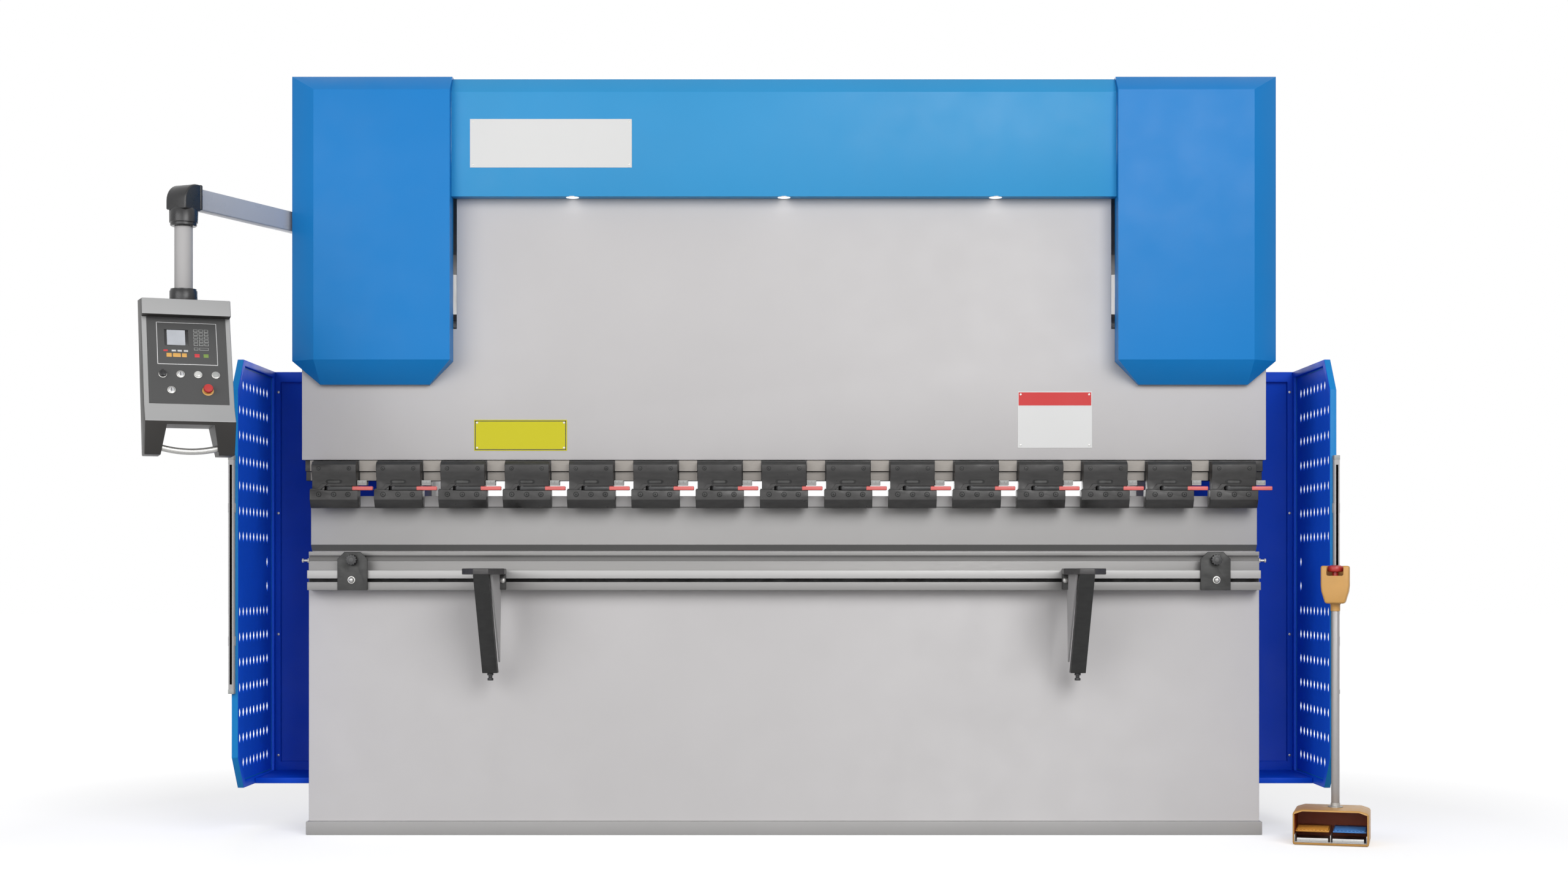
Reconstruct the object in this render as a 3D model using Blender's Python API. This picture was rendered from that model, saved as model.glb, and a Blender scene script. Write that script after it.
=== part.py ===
"""Hydraulic press brake with torsion bar, swing-arm control, side guards and foot switch.

Metres, +Z up, origin on the floor under the middle of the bed. +X runs along the bed to the
operator's right and +Y runs from the operator towards the back of the machine.
"""
import math

import bmesh
import bpy
from mathutils import Matrix, Vector

# ---- clearances and sheet
GAP = 0.0003
SLIDE_GAP = 0.0004
SHEET = 0.0025

# ---- bed
BED_LENGTH = 3.200
TABLE_TOP = 1.1405
BED_THICKNESS = 0.080
BED_FACE = -0.007
APRON_FACE = -0.040
APRON_TOP = 0.9525
FOOT_HEIGHT = 0.045
FOOT_FACE = -0.055

# ---- side frames
FRAME_INSET = 0.318
FRAME_THICKNESS = 0.040
FRAME_FRONT = 0.100
FRAME_DEPTH = 1.100
THROAT_DEPTH = 0.430
THROAT_LOW = 1.020
THROAT_HIGH = 1.530
THROAT_BEVEL = 0.070

# ---- ram and its stroke
RAM_OVERHANG = 0.020
RAM_THICKNESS = 0.080
RAM_FACE = -0.055
RAM_CLEARANCE = 0.1195
RAM_SHOULDER = 0.5595
RAM_HEIGHT = 1.060
STROKE = 0.120
GUIDE_WIDTH = 0.100
GUIDE_LENGTH = 0.360

# ---- clamp row
CLAMP_COUNT = 15
CLAMP_END_MARGIN = 0.095
CAP_WIDTH = 0.148
JAW_WIDTH = 0.161
CLAMP_FACE = -0.095
CLAMP_BACK = -0.045
LEVER_HEIGHT = 0.0135
LEVER_REACH = 0.129
LEVER_PIVOT = -0.017
LEVER_RISE = 0.0231

# ---- cylinders
CYLINDER_RADIUS = 0.100
CYLINDER_LENGTH = 0.490
CYLINDER_Y = -0.022
ROD_RADIUS = 0.045
PISTON_RADIUS = 0.070
PISTON_HEIGHT = 0.060

# ---- covers
TOP = 2.543
COVER_WIDTH = 0.537
COVER_HEIGHT = 1.032
COVER_CLEARANCE = 0.013
COVER_CHAMFER = 0.060
COVER_SIDE_DEPTH = 0.095
COVER_TOP_DEPTH = 0.300
BEAM_COVER_FACE = -0.105
BEAM_COVER_HEIGHT = 0.406

# ---- torsion bar
TORSION_Y = 0.330
TORSION_RISE = 0.610
TORSION_RADIUS = 0.045
CRANK_LENGTH = 0.220
CRANK_THICKNESS = 0.022
CRANK_INSET = 0.205
PIN_RADIUS = 0.012
LINK_THICKNESS = 0.025
LINK_LENGTH = 0.270

# ---- front rail and supports
RAIL_INSET = 0.0075
RAIL_DEPTH = 0.060
RAIL_HEAD_DEPTH = 0.035
RAIL_TOP = 0.952
RAIL_HEIGHT = 0.129
BRACKET_WIDTH = 0.100
BRACKET_INSET = 0.160
KNOB_RADIUS = 0.019
ARM_INSET = 0.624
ARM_REACH = 0.270
ARM_WIDTH = 0.138
ARM_TAPER = 0.020
CHANNEL_WIDTH = 0.050

# ---- guards
GUARD_OUT = 0.224
GUARD_THICKNESS = 0.021
GUARD_FRONT = -0.182
GUARD_BACK = 0.350
GUARD_LOW = 0.163
GUARD_HEIGHT = 1.430
GUARD_FLANGE = 0.020
GUARD_CUT = (0.080, 0.107)
POST_SECTION = (0.018, 0.025)
POST_LOW = 0.483
POST_HEIGHT = 0.784

# ---- pendant
ARM_TUBE = (0.040, 0.0675)
ARM_LOW = 2.030
PENDANT_OUT = 0.241
PENDANT_Y = -0.520
PIVOT_OUT = 0.107
PIVOT_Y = 0.600
DROP_WIDTH = 0.057
PENDANT_TOP = 1.7447
PENDANT_HEIGHT = 0.5057
PENDANT_WIDTH = 0.268
PENDANT_TURN = math.radians(20)
PANEL_TOP = (-0.082, 0.436)
PANEL_LENGTH = 0.3195
PANEL_LEAN = math.radians(26.4)
STOP_SPOT = (0.0563, 0.2643)
SELECTOR_SPOT = (-0.0759, 0.2087)
BUTTON_TRAVEL = 0.005
HANDLE_RADIUS = 0.010

# ---- foot switch
SWITCH_X = 1.761
SWITCH_Y = -0.355
SWITCH_TURN = math.radians(-16.6)
SWITCH_WIDTH = 0.240
SWITCH_DEPTH = 0.200
SWITCH_HEIGHT = 0.115
SWITCH_WALL = 0.006
STOP_POST_RADIUS = 0.0135
STOP_POST_SHIFT = 0.0105
STOP_CUP = (0.091, 0.080, 0.124)
STOP_CUP_LOW = 0.780

# ---- back gauge, tank and cabinet
GAUGE_RAIL_X = 0.950
GAUGE_RAIL_TOP = 0.980
GAUGE_RAIL_LENGTH = 0.900
GAUGE_BEAM_Y = 0.500
FINGER_X = 0.450
TANK_HEIGHT = 0.320
CABINET = (0.255, 0.500, 0.800)
CABINET_Y = 0.560
CABINET_LOW = 0.900
CABINET_WALL = 0.004
DOOR_THICKNESS = 0.015

# ---- worked out from the sizes above
BED_HALF = BED_LENGTH / 2
BED_BACK = BED_FACE + BED_THICKNESS
FRAME_X = BED_HALF - FRAME_INSET
FRAME_TOP = TOP - SHEET - GAP
RAM_HALF = BED_HALF + RAM_OVERHANG
RAM_BOTTOM = TABLE_TOP + RAM_CLEARANCE
RAM_BACK = RAM_FACE + RAM_THICKNESS
RAM_STEP = TABLE_TOP + RAM_SHOULDER
COVER_FACE = CYLINDER_Y - CYLINDER_RADIUS - COVER_CLEARANCE
COVER_OUT = RAM_HALF + 0.028
COVER_IN = COVER_OUT - COVER_WIDTH
COVER_LOW = TOP - COVER_HEIGHT
RAM_NECK = COVER_IN - 0.011
CYLINDER_LOW = TOP - 0.593
TORSION_Z = TABLE_TOP + TORSION_RISE
CRANK_REST = math.asin(STROKE / 2 / CRANK_LENGTH)
CRANK_X = RAM_HALF - CRANK_INSET - CRANK_THICKNESS
LINK_X = CRANK_X - 0.003 - LINK_THICKNESS
CLAMP_PITCH = (BED_LENGTH - 2 * CLAMP_END_MARGIN) / (CLAMP_COUNT - 1)
LEVER_Z = TABLE_TOP + LEVER_RISE
LEVER_Y = CLAMP_FACE + 0.0135
RAIL_FACE = APRON_FACE - GAP - RAIL_DEPTH
RAIL_LOW = RAIL_TOP - RAIL_HEIGHT
RAIL_HALF = BED_HALF - RAIL_INSET
GUARD_X = BED_HALF + GUARD_OUT
PENDANT_X = -(COVER_OUT + PENDANT_OUT)
PIVOT_X = -(FRAME_X + PIVOT_OUT)

for old in list(bpy.data.objects):
    bpy.data.objects.remove(old, do_unlink=True)


# ---- outlines
def rectangle(low_u, low_v, high_u, high_v):
    return [(low_u, low_v), (high_u, low_v), (high_u, high_v), (low_u, high_v)]


def circle(centre, radius, sides):
    turns = [2 * math.pi * step / sides for step in range(sides)]
    return [(centre[0] + radius * math.cos(a), centre[1] + radius * math.sin(a)) for a in turns]


def strap(first, first_radius, last, last_radius, steps=5):
    """Outline round two circles and along the two lines that touch both."""
    run = (last[0] - first[0], last[1] - first[1])
    heading = math.atan2(run[1], run[0])
    tilt = math.acos((first_radius - last_radius) / math.hypot(*run))
    points = []
    ends = ((first, first_radius, heading + tilt, heading + 2 * math.pi - tilt),
            (last, last_radius, heading - tilt, heading + tilt))
    for centre, radius, start, stop in ends:
        for step in range(steps + 1):
            angle = start + (stop - start) * step / steps
            points.append((centre[0] + radius * math.cos(angle), centre[1] + radius * math.sin(angle)))
    return points


# ---- forms: each returns a function that adds one closed shape to a mesh
AXES = {"X": (1, 2, 0), "Y": (0, 2, 1), "Z": (0, 1, 2)}


def prism(outline, axis, start, end):
    """An outline over the other two axes, in X, Y, Z order, extruded along an axis."""
    across, up, along = AXES[axis]

    def add(bm):
        ring = []
        for point in outline:
            place = [0.0, 0.0, 0.0]
            place[across], place[up], place[along] = point[0], point[1], start
            ring.append(bm.verts.new(place))
        made = bmesh.ops.extrude_face_region(bm, geom=[bm.faces.new(ring)])
        shift = Vector((0, 0, 0))
        shift[along] = end - start
        moved = [v for v in made["geom"] if isinstance(v, bmesh.types.BMVert)]
        bmesh.ops.translate(bm, verts=moved, vec=shift)

    return add


def block(low, high):
    return prism(rectangle(low[0], low[1], high[0], high[1]), "Z", low[2], high[2])


def turned(profile, axis, centre, sides=20):
    """Rings of (radius, place along the axis) joined one after another and capped."""
    across, up, along = AXES[axis]

    def add(bm):
        rings = []
        for radius, height in profile:
            ring = []
            for u, v in circle(centre, radius, sides):
                place = [0.0, 0.0, 0.0]
                place[across], place[up], place[along] = u, v, height
                ring.append(bm.verts.new(place))
            rings.append(ring)
        for low, high in zip(rings, rings[1:]):
            for i in range(sides):
                bm.faces.new((low[i], low[(i + 1) % sides], high[(i + 1) % sides], high[i]))
        bm.faces.new(rings[0])
        bm.faces.new(rings[-1])

    return add


def solid(corners, faces):
    def add(bm):
        places = [bm.verts.new(corner) for corner in corners]
        for face in faces:
            bm.faces.new([places[i] for i in face])

    return add


def leaned(form, hinge):
    """A form made against an upright panel, leaned back about a line through a hinge in Y and Z."""
    def add(bm):
        before = len(bm.verts)
        form(bm)
        bm.verts.ensure_lookup_table()
        bmesh.ops.rotate(bm, verts=bm.verts[before:], cent=(0, *hinge),
                         matrix=Matrix.Rotation(-PANEL_LEAN, 3, "X"))

    return add


# ---- objects
def mesh_object(name, forms, pivot):
    bm = bmesh.new()
    for form in forms:
        form(bm)
    bmesh.ops.recalc_face_normals(bm, faces=bm.faces)
    bmesh.ops.translate(bm, verts=bm.verts, vec=-Vector(pivot))
    mesh = bpy.data.meshes.new(name)
    bm.to_mesh(mesh)
    bm.free()
    made = bpy.data.objects.new(name, mesh)
    bpy.context.collection.objects.link(made)
    return made


def part(name, colour, *forms, add=(), cut=(), late=(), pivot=(0, 0, 0), holder=None,
         metallic=0.0, roughness=0.5):
    """One sub-part: its forms, then what is united, what is cut, and what is united after the cuts."""
    made = mesh_object(name, forms, pivot)
    made.location = pivot
    made.parent = holder
    steps = (("UNION", add, "add"), ("DIFFERENCE", cut, "cut"), ("UNION", late, "late"))
    for operation, operands, word in steps:
        for number, operand in enumerate(operands):
            tool = mesh_object(f"{name}_{word}_{number}", operand, pivot)
            tool.parent = made
            tool.hide_render = True
            tool.display_type = "WIRE"
            step = made.modifiers.new(operation.title(), "BOOLEAN")
            step.operation = operation
            step.object = tool
    material = bpy.data.materials.new(name)
    material.use_nodes = True
    shader = material.node_tree.nodes["Principled BSDF"]
    shader.inputs["Base Color"].default_value = (*colour, 1.0)
    shader.inputs["Roughness"].default_value = roughness
    shader.inputs["Metallic"].default_value = metallic
    made.data.materials.append(material)
    return made


def empty(name, location, turn=0.0):
    made = bpy.data.objects.new(name, None)
    made.location = location
    made.rotation_euler = (0, 0, turn)
    bpy.context.collection.objects.link(made)
    return made


GREY = (0.55, 0.54, 0.53)
BLUE = (0.04, 0.30, 0.68)
DEEP_BLUE = (0.01, 0.06, 0.50)
CHARCOAL = (0.06, 0.06, 0.065)
RED = (0.75, 0.14, 0.14)
ALUMINIUM = (0.62, 0.62, 0.62)
STEEL = (0.55, 0.56, 0.58)
ORANGE = (0.85, 0.36, 0.05)
SIDES = (("left", -1), ("right", 1))


def make_bed():
    outline = [(BED_FACE, FOOT_HEIGHT / 2), (BED_BACK, FOOT_HEIGHT / 2), (BED_BACK, TABLE_TOP),
               (BED_FACE, TABLE_TOP), (BED_FACE, 0.976), (0.010, APRON_TOP),
               (APRON_FACE, APRON_TOP), (APRON_FACE, FOOT_HEIGHT / 2)]
    foot = block((-BED_HALF - 0.007, FOOT_FACE, 0), (BED_HALF + 0.007, BED_BACK, FOOT_HEIGHT))
    part("worktable", GREY, prism(outline, "X", -BED_HALF, BED_HALF), add=[[foot]])


def make_side_frame(label, side):
    outline = [(BED_BACK + GAP, 0), (BED_BACK + GAP, THROAT_LOW),
               (THROAT_DEPTH - THROAT_BEVEL, THROAT_LOW),
               (THROAT_DEPTH, THROAT_LOW + THROAT_BEVEL), (THROAT_DEPTH, THROAT_HIGH - THROAT_BEVEL),
               (THROAT_DEPTH - THROAT_BEVEL, THROAT_HIGH), (FRAME_FRONT, THROAT_HIGH),
               (FRAME_FRONT, FRAME_TOP), (COVER_TOP_DEPTH, FRAME_TOP), (FRAME_DEPTH - 0.15, TOP - 0.25),
               (FRAME_DEPTH, TOP - 0.40), (FRAME_DEPTH, 0)]
    near, far = sorted((side * (FRAME_X - FRAME_THICKNESS / 2), side * (FRAME_X + FRAME_THICKNESS / 2)))
    guide_low = RAM_STEP - 0.160
    guide = block((side * FRAME_X - GUIDE_WIDTH / 2, RAM_BACK + SLIDE_GAP, guide_low),
                  (side * FRAME_X + GUIDE_WIDTH / 2, FRAME_FRONT + 0.02, guide_low + GUIDE_LENGTH))
    foot = block((side * FRAME_X - 0.10, FRAME_DEPTH - 0.35, 0),
                 (side * FRAME_X + 0.10, FRAME_DEPTH + 0.02, 0.03))
    bearing = turned([(TORSION_RADIUS + 0.0008, near - 0.1), (TORSION_RADIUS + 0.0008, far + 0.1)],
                     "X", (TORSION_Y, TORSION_Z))
    extra = [[guide, foot]]
    if side < 0:
        shelf = block((PIVOT_X - 0.05, PIVOT_Y - 0.06, ARM_LOW - GAP - 0.03),
                      (near + 0.01, PIVOT_Y + 0.06, ARM_LOW - GAP))
        pin = turned([(0.015, ARM_LOW - 0.02), (0.015, ARM_LOW + ARM_TUBE[1] + 0.01)],
                     "Z", (PIVOT_X, PIVOT_Y), 16)
        extra += [[shelf], [pin]]
    part(f"side_frame_{label}", GREY, prism(outline, "X", near, far), add=extra, cut=[[bearing]])


def make_ram():
    outline = [(-RAM_HALF, RAM_BOTTOM), (RAM_HALF, RAM_BOTTOM), (RAM_HALF, RAM_STEP), (RAM_NECK, RAM_STEP),
               (RAM_NECK, TABLE_TOP + RAM_HEIGHT), (-RAM_NECK, TABLE_TOP + RAM_HEIGHT),
               (-RAM_NECK, RAM_STEP), (-RAM_HALF, RAM_STEP)]
    pin_y, pin_z = link_foot()
    lugs = []
    pins = []
    for _, side in SIDES:
        near, far = sorted((side * CRANK_X, side * (CRANK_X + CRANK_THICKNESS)))
        lugs.append(block((near, RAM_BACK - 0.01, pin_z - 0.045), (far, pin_y + 0.03, pin_z + 0.045)))
        near, far = sorted((side * LINK_X, side * (CRANK_X + 0.01)))
        pins.append(turned([(PIN_RADIUS, near), (PIN_RADIUS, far)], "X", (pin_y, pin_z), 12))
    part("ram", GREY, prism(outline, "Y", RAM_FACE, RAM_BACK), add=[lugs, pins], pivot=(0, 0, RAM_BOTTOM))


def crank_pin():
    """Rest place of the crank's pin, in Y and Z."""
    return (TORSION_Y - CRANK_LENGTH * math.cos(CRANK_REST),
            TORSION_Z - CRANK_LENGTH * math.sin(CRANK_REST))


def link_foot():
    pin_y, pin_z = crank_pin()
    return (pin_y, pin_z - LINK_LENGTH)


def make_torsion_bar():
    pin_y, pin_z = crank_pin()
    bar_end = CRANK_X + CRANK_THICKNESS / 2
    bar = turned([(TORSION_RADIUS, -bar_end), (TORSION_RADIUS, bar_end)], "X", (TORSION_Y, TORSION_Z))
    cranks = []
    pins = []
    for _, side in SIDES:
        near, far = sorted((side * CRANK_X, side * (CRANK_X + CRANK_THICKNESS)))
        cranks.append(prism(strap((TORSION_Y, TORSION_Z), 0.065, (pin_y, pin_z), 0.028), "X", near, far))
        near, far = sorted((side * LINK_X, side * (CRANK_X + 0.01)))
        pins.append(turned([(PIN_RADIUS, near), (PIN_RADIUS, far)], "X", (pin_y, pin_z), 12))
    part("torsion_bar", STEEL, bar, add=[cranks, pins], pivot=(0, TORSION_Y, TORSION_Z), metallic=0.8)


def make_link(label, side):
    """The upper eye is wider than its pin, because the pin swings on an arc."""
    top_y, top_z = crank_pin()
    low_y, low_z = link_foot()
    sway = CRANK_LENGTH * (1 - math.cos(CRANK_REST))
    near, far = sorted((side * LINK_X, side * (LINK_X + LINK_THICKNESS)))
    bore = PIN_RADIUS + sway / 2 + 0.0012
    upper = turned([(bore, near - 0.01), (bore, far + 0.01)],
                   "X", (top_y - sway / 2, top_z), 16)
    lower = turned([(PIN_RADIUS + SLIDE_GAP, near - 0.01), (PIN_RADIUS + SLIDE_GAP, far + 0.01)],
                   "X", (low_y, low_z), 12)
    outline = strap((low_y, low_z), 0.025, (top_y - sway / 2, top_z), 0.030)
    part(f"link_{label}", STEEL, prism(outline, "X", near, far), cut=[[upper, lower]], metallic=0.8)


def clamp_centres():
    first = -BED_HALF + CLAMP_END_MARGIN
    return [first + CLAMP_PITCH * number for number in range(CLAMP_COUNT)]


def make_clamps():
    upper_low = RAM_BOTTOM - 0.038
    bars = [(RAM_FACE + 0.020, TABLE_TOP + 0.0505), (RAM_BACK - 0.010, TABLE_TOP + 0.0505),
            (RAM_BACK - 0.010, RAM_BOTTOM - GAP), (RAM_FACE + 0.007, RAM_BOTTOM - GAP),
            (RAM_FACE + 0.007, upper_low), (RAM_FACE + 0.020, upper_low)]
    cap_outline = [(CLAMP_BACK + 0.010, RAM_BOTTOM - 0.006), (CLAMP_FACE + 0.012, RAM_BOTTOM - 0.006),
                   (CLAMP_FACE, RAM_BOTTOM - 0.0175), (CLAMP_FACE, RAM_BOTTOM - 0.0445),
                   (CLAMP_FACE + 0.009, RAM_BOTTOM - 0.064), (CLAMP_FACE + 0.009, TABLE_TOP + 0.010),
                   (CLAMP_BACK, TABLE_TOP + 0.010), (CLAMP_BACK, TABLE_TOP + 0.055),
                   (CLAMP_BACK + 0.010, TABLE_TOP + 0.055)]
    jaw_outline = [(CLAMP_BACK, TABLE_TOP + 0.0185), (CLAMP_FACE, TABLE_TOP + 0.0185),
                   (CLAMP_FACE, TABLE_TOP - 0.0155), (CLAMP_FACE + 0.016, TABLE_TOP - 0.0425),
                   (CLAMP_BACK, TABLE_TOP - 0.0425)]
    caps, jaws, wedges, slots = [], [], [], []
    slot_half = LEVER_HEIGHT / 2 + SLIDE_GAP
    for x in clamp_centres():
        caps.append(prism(cap_outline, "X", x - CAP_WIDTH / 2, x + CAP_WIDTH / 2))
        jaws.append(prism(jaw_outline, "X", x - JAW_WIDTH / 2, x + JAW_WIDTH / 2))
        wedges.append(block((x + 0.060, -0.078, TABLE_TOP + 0.0335),
                            (x + 0.108, -0.050, TABLE_TOP + 0.050)))
        slots.append(block((x + LEVER_PIVOT - 0.015, CLAMP_FACE - 0.02, LEVER_Z - slot_half),
                           (x + JAW_WIDTH / 2 + 0.01, LEVER_Y + 0.015, LEVER_Z + slot_half)))
    part("tool_clamps", CHARCOAL, prism(bars, "X", -RAM_HALF + 0.010, RAM_HALF - 0.010),
         add=[caps, jaws, wedges], cut=[slots], pivot=(0, 0, RAM_BOTTOM), roughness=0.4)


def make_levers():
    for number, x in enumerate(clamp_centres(), start=1):
        pivot = (x + LEVER_PIVOT, LEVER_Y, LEVER_Z)
        outline = strap((pivot[0], LEVER_Y), 0.0125, (x + LEVER_REACH - 0.008, LEVER_Y), 0.008, 4)
        part(f"clamp_lever_{number:02d}", RED,
             prism(outline, "Z", LEVER_Z - LEVER_HEIGHT / 2, LEVER_Z + LEVER_HEIGHT / 2), pivot=pivot)


def make_cylinder(label, side):
    x = side * FRAME_X
    high = CYLINDER_LOW + CYLINDER_LENGTH
    barrel = turned([(CYLINDER_RADIUS, CYLINDER_LOW), (CYLINDER_RADIUS, high)], "Z", (x, CYLINDER_Y))
    saddle = block((x - 0.08, CYLINDER_Y + 0.045, CYLINDER_LOW + 0.03),
                   (x + 0.08, FRAME_FRONT - GAP, high - 0.03))
    gland = ROD_RADIUS + SLIDE_GAP
    bore = PISTON_RADIUS + SLIDE_GAP
    chamber = turned([(gland, CYLINDER_LOW - 0.01), (gland, CYLINDER_LOW + 0.05), (bore, CYLINDER_LOW + 0.05),
                      (bore, high - 0.05)], "Z", (x, CYLINDER_Y))
    part(f"cylinder_{label}", CHARCOAL, barrel, add=[[saddle]], cut=[[chamber]])
    piston_low = CYLINDER_LOW + 0.07
    rod = turned([(ROD_RADIUS, RAM_STEP + GAP), (ROD_RADIUS, piston_low), (PISTON_RADIUS, piston_low),
                  (PISTON_RADIUS, piston_low + PISTON_HEIGHT)], "Z", (x, CYLINDER_Y))
    part(f"piston_rod_{label}", STEEL, rod, pivot=(x, CYLINDER_Y, RAM_STEP), metallic=1.0, roughness=0.2)


def cover_body(side, inset):
    """The cover's outer shape, or its inside when inset by the sheet's thickness."""
    inner, outer = COVER_IN + inset, COVER_OUT - inset
    face, step = COVER_FACE + inset, COVER_FACE + COVER_CHAMFER + inset
    top, low, back = TOP - inset, COVER_LOW - inset, COVER_TOP_DEPTH + 4 * inset
    bend = COVER_LOW + 0.079
    front = [(inner, bend), (outer - 0.084, bend), (outer - 0.084, top - 0.055), (inner, top - 0.055)]
    rear = [(inner, bend), (inner + 0.078, low), (outer - 0.094, low), (outer, bend), (outer, top),
            (inner, top)]
    corners = [(side * x, face, z) for x, z in front]
    corners += [(side * x, step, z) for x, z in rear] + [(side * x, back, z) for x, z in rear]
    faces = [(0, 1, 2, 3), (0, 5, 6, 1), (0, 4, 5), (1, 6, 7), (1, 7, 8, 2), (2, 8, 9, 3), (3, 9, 4, 0),
             (4, 10, 11, 5), (5, 11, 12, 6), (6, 12, 13, 7), (7, 13, 14, 8), (8, 14, 15, 9), (9, 15, 10, 4),
             (15, 14, 13, 12, 11, 10)]
    return solid(corners, faces)


def make_cover(label, side):
    """A sheet box, open behind, short where the ram runs and longer at the outside and the top."""
    inner, outer = sorted((side * (COVER_IN - 0.01), side * (COVER_OUT - SHEET)))
    low, high = COVER_LOW - 0.02, TOP - SHEET
    lip = RAM_FACE - 0.003
    hollow = cover_body(side, SHEET)
    behind = block((inner, lip, low), (outer, COVER_TOP_DEPTH + 0.01, high))
    outside = sorted((side * (COVER_OUT - 0.10), side * (COVER_OUT + 0.01)))
    rear = block((outside[0], COVER_SIDE_DEPTH, low), (outside[1], COVER_TOP_DEPTH + 0.02, high))
    corner = block((outside[0], lip, low), (outside[1], COVER_TOP_DEPTH + 0.02, COVER_LOW + 0.079))
    cuts = [[hollow], [behind], [rear], [corner]]
    if side < 0:
        cuts.append([block((outside[0], -0.072, ARM_LOW - 0.03),
                           (outside[1], COVER_TOP_DEPTH, ARM_LOW + ARM_TUBE[1] + 0.03))])
    part(f"cylinder_cover_{label}", BLUE, cover_body(side, 0.0), cut=cuts, roughness=0.4)


def make_beam_cover():
    low, step = TOP - BEAM_COVER_HEIGHT, TOP - 0.057
    outside = [(RAM_FACE - 0.003, low), (BEAM_COVER_FACE, low), (BEAM_COVER_FACE, step),
               (BEAM_COVER_FACE + 0.040, TOP - 0.006), (COVER_TOP_DEPTH, TOP - 0.006)]
    inside = [(COVER_TOP_DEPTH, TOP - 0.006 - SHEET), (BEAM_COVER_FACE + 0.041, TOP - 0.006 - SHEET),
              (BEAM_COVER_FACE + SHEET, step - 0.001), (BEAM_COVER_FACE + SHEET, low + SHEET),
              (RAM_FACE - 0.003, low + SHEET)]
    part("beam_cover", BLUE, prism(outside + inside, "X", -COVER_IN + GAP, COVER_IN - GAP), roughness=0.4)


def make_tank_and_motor():
    half = FRAME_X - FRAME_THICKNESS / 2 - GAP
    low = TOP - 0.563
    top = low + TANK_HEIGHT
    part("oil_tank", GREY, block((-half, 0.16, low), (half, 0.66, top)))
    profile = [(0.085, -0.25), (0.085, 0.02), (0.060, 0.04), (0.060, 0.20)]
    body = turned(profile, "X", (0.40, top + 0.105), 20)
    foot = block((-0.20, 0.32, top + GAP), (0.0, 0.48, top + 0.08))
    part("motor_pump", BLUE, body, add=[[foot]])


def make_front_rail():
    back = APRON_FACE - GAP
    head = back - RAIL_HEAD_DEPTH
    outline = [(back, RAIL_LOW), (RAIL_FACE, RAIL_LOW), (RAIL_FACE, RAIL_LOW + 0.027),
               (back - 0.030, RAIL_LOW + 0.027), (back - 0.030, RAIL_LOW + 0.039),
               (RAIL_FACE, RAIL_LOW + 0.039), (RAIL_FACE, RAIL_LOW + 0.066), (head, RAIL_LOW + 0.066),
               (head, RAIL_TOP - 0.032), (head + 0.010, RAIL_TOP - 0.032),
               (head + 0.010, RAIL_TOP - 0.0135), (head, RAIL_TOP - 0.0135), (head, RAIL_TOP),
               (back, RAIL_TOP)]
    part("front_rail", ALUMINIUM, prism(outline, "X", -RAIL_HALF, RAIL_HALF), metallic=1.0)


def make_rail_end(label, side):
    x = side * (BED_HALF - BRACKET_INSET)
    half, low = BRACKET_WIDTH / 2, RAIL_LOW
    front = RAIL_FACE - GAP
    outline = [(x - half, low), (x + half, low), (x + half, RAIL_TOP - 0.025),
               (x + half - 0.024, RAIL_TOP - 0.001),
               (x - half + 0.024, RAIL_TOP - 0.001), (x - half, RAIL_TOP - 0.025)]
    knob_z = RAIL_TOP - 0.028
    hole = turned([(0.0068, front - 0.02), (0.0068, front + 0.02)], "Y", (x, knob_z), 12)
    part(f"rail_bracket_{label}", CHARCOAL, prism(outline, "Y", front - 0.008, front), cut=[[hole]])
    lobes = []
    for step in range(16):
        radius = KNOB_RADIUS if step % 2 else 0.82 * KNOB_RADIUS
        angle = 2 * math.pi * step / 16
        lobes.append((x + radius * math.cos(angle), knob_z + radius * math.sin(angle)))
    face = front - 0.008 - GAP
    stem_end = APRON_FACE - RAIL_HEAD_DEPTH - 2 * GAP
    stem = turned([(0.006, face - 0.005), (0.006, stem_end)], "Y", (x, knob_z), 12)
    part(f"star_knob_{label}", CHARCOAL, prism(lobes, "Y", face - 0.022, face), add=[[stem]],
         pivot=(x, face, knob_z))


def make_support_arm(label, side):
    x = side * (BED_HALF - ARM_INSET)
    back = RAIL_FACE - GAP
    tip = back - ARM_REACH
    top = RAIL_LOW + 0.072
    half = ARM_WIDTH / 2
    root = half - ARM_TAPER
    plate = [(x - root, back), (x + root, back), (x + half, tip + 0.060), (x + half - 0.045, tip),
             (x - half + 0.045, tip), (x - half, tip + 0.060)]
    channel = [(tip + 0.002, top - 0.010), (tip + 0.040, top - 0.010), (back - 0.012, RAIL_LOW - 0.275),
               (back - 0.050, RAIL_LOW - 0.275)]
    web = [(tip + 0.035, top - 0.010), (back - 0.005, top - 0.010), (back - 0.005, RAIL_LOW - 0.05),
           (back - 0.025, RAIL_LOW - 0.24)]
    inner = x - side * (CHANNEL_WIDTH / 2 - 0.004)
    shoe = block((x - root, back - 0.030, RAIL_LOW + 0.002), (x + root, back, top - 0.005))
    foot = turned([(0.010, RAIL_LOW - 0.300), (0.010, RAIL_LOW - 0.262)], "Z", (x, back - 0.031), 12)
    part(f"support_arm_{label}", CHARCOAL, prism(plate, "Z", top - 0.020, top),
         add=[[prism(channel, "X", x - CHANNEL_WIDTH / 2, x + CHANNEL_WIDTH / 2)],
              [prism(web, "X", min(inner, inner - side * 0.008), max(inner, inner - side * 0.008))],
              [shoe], [foot]], pivot=(x, back, top))


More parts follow.
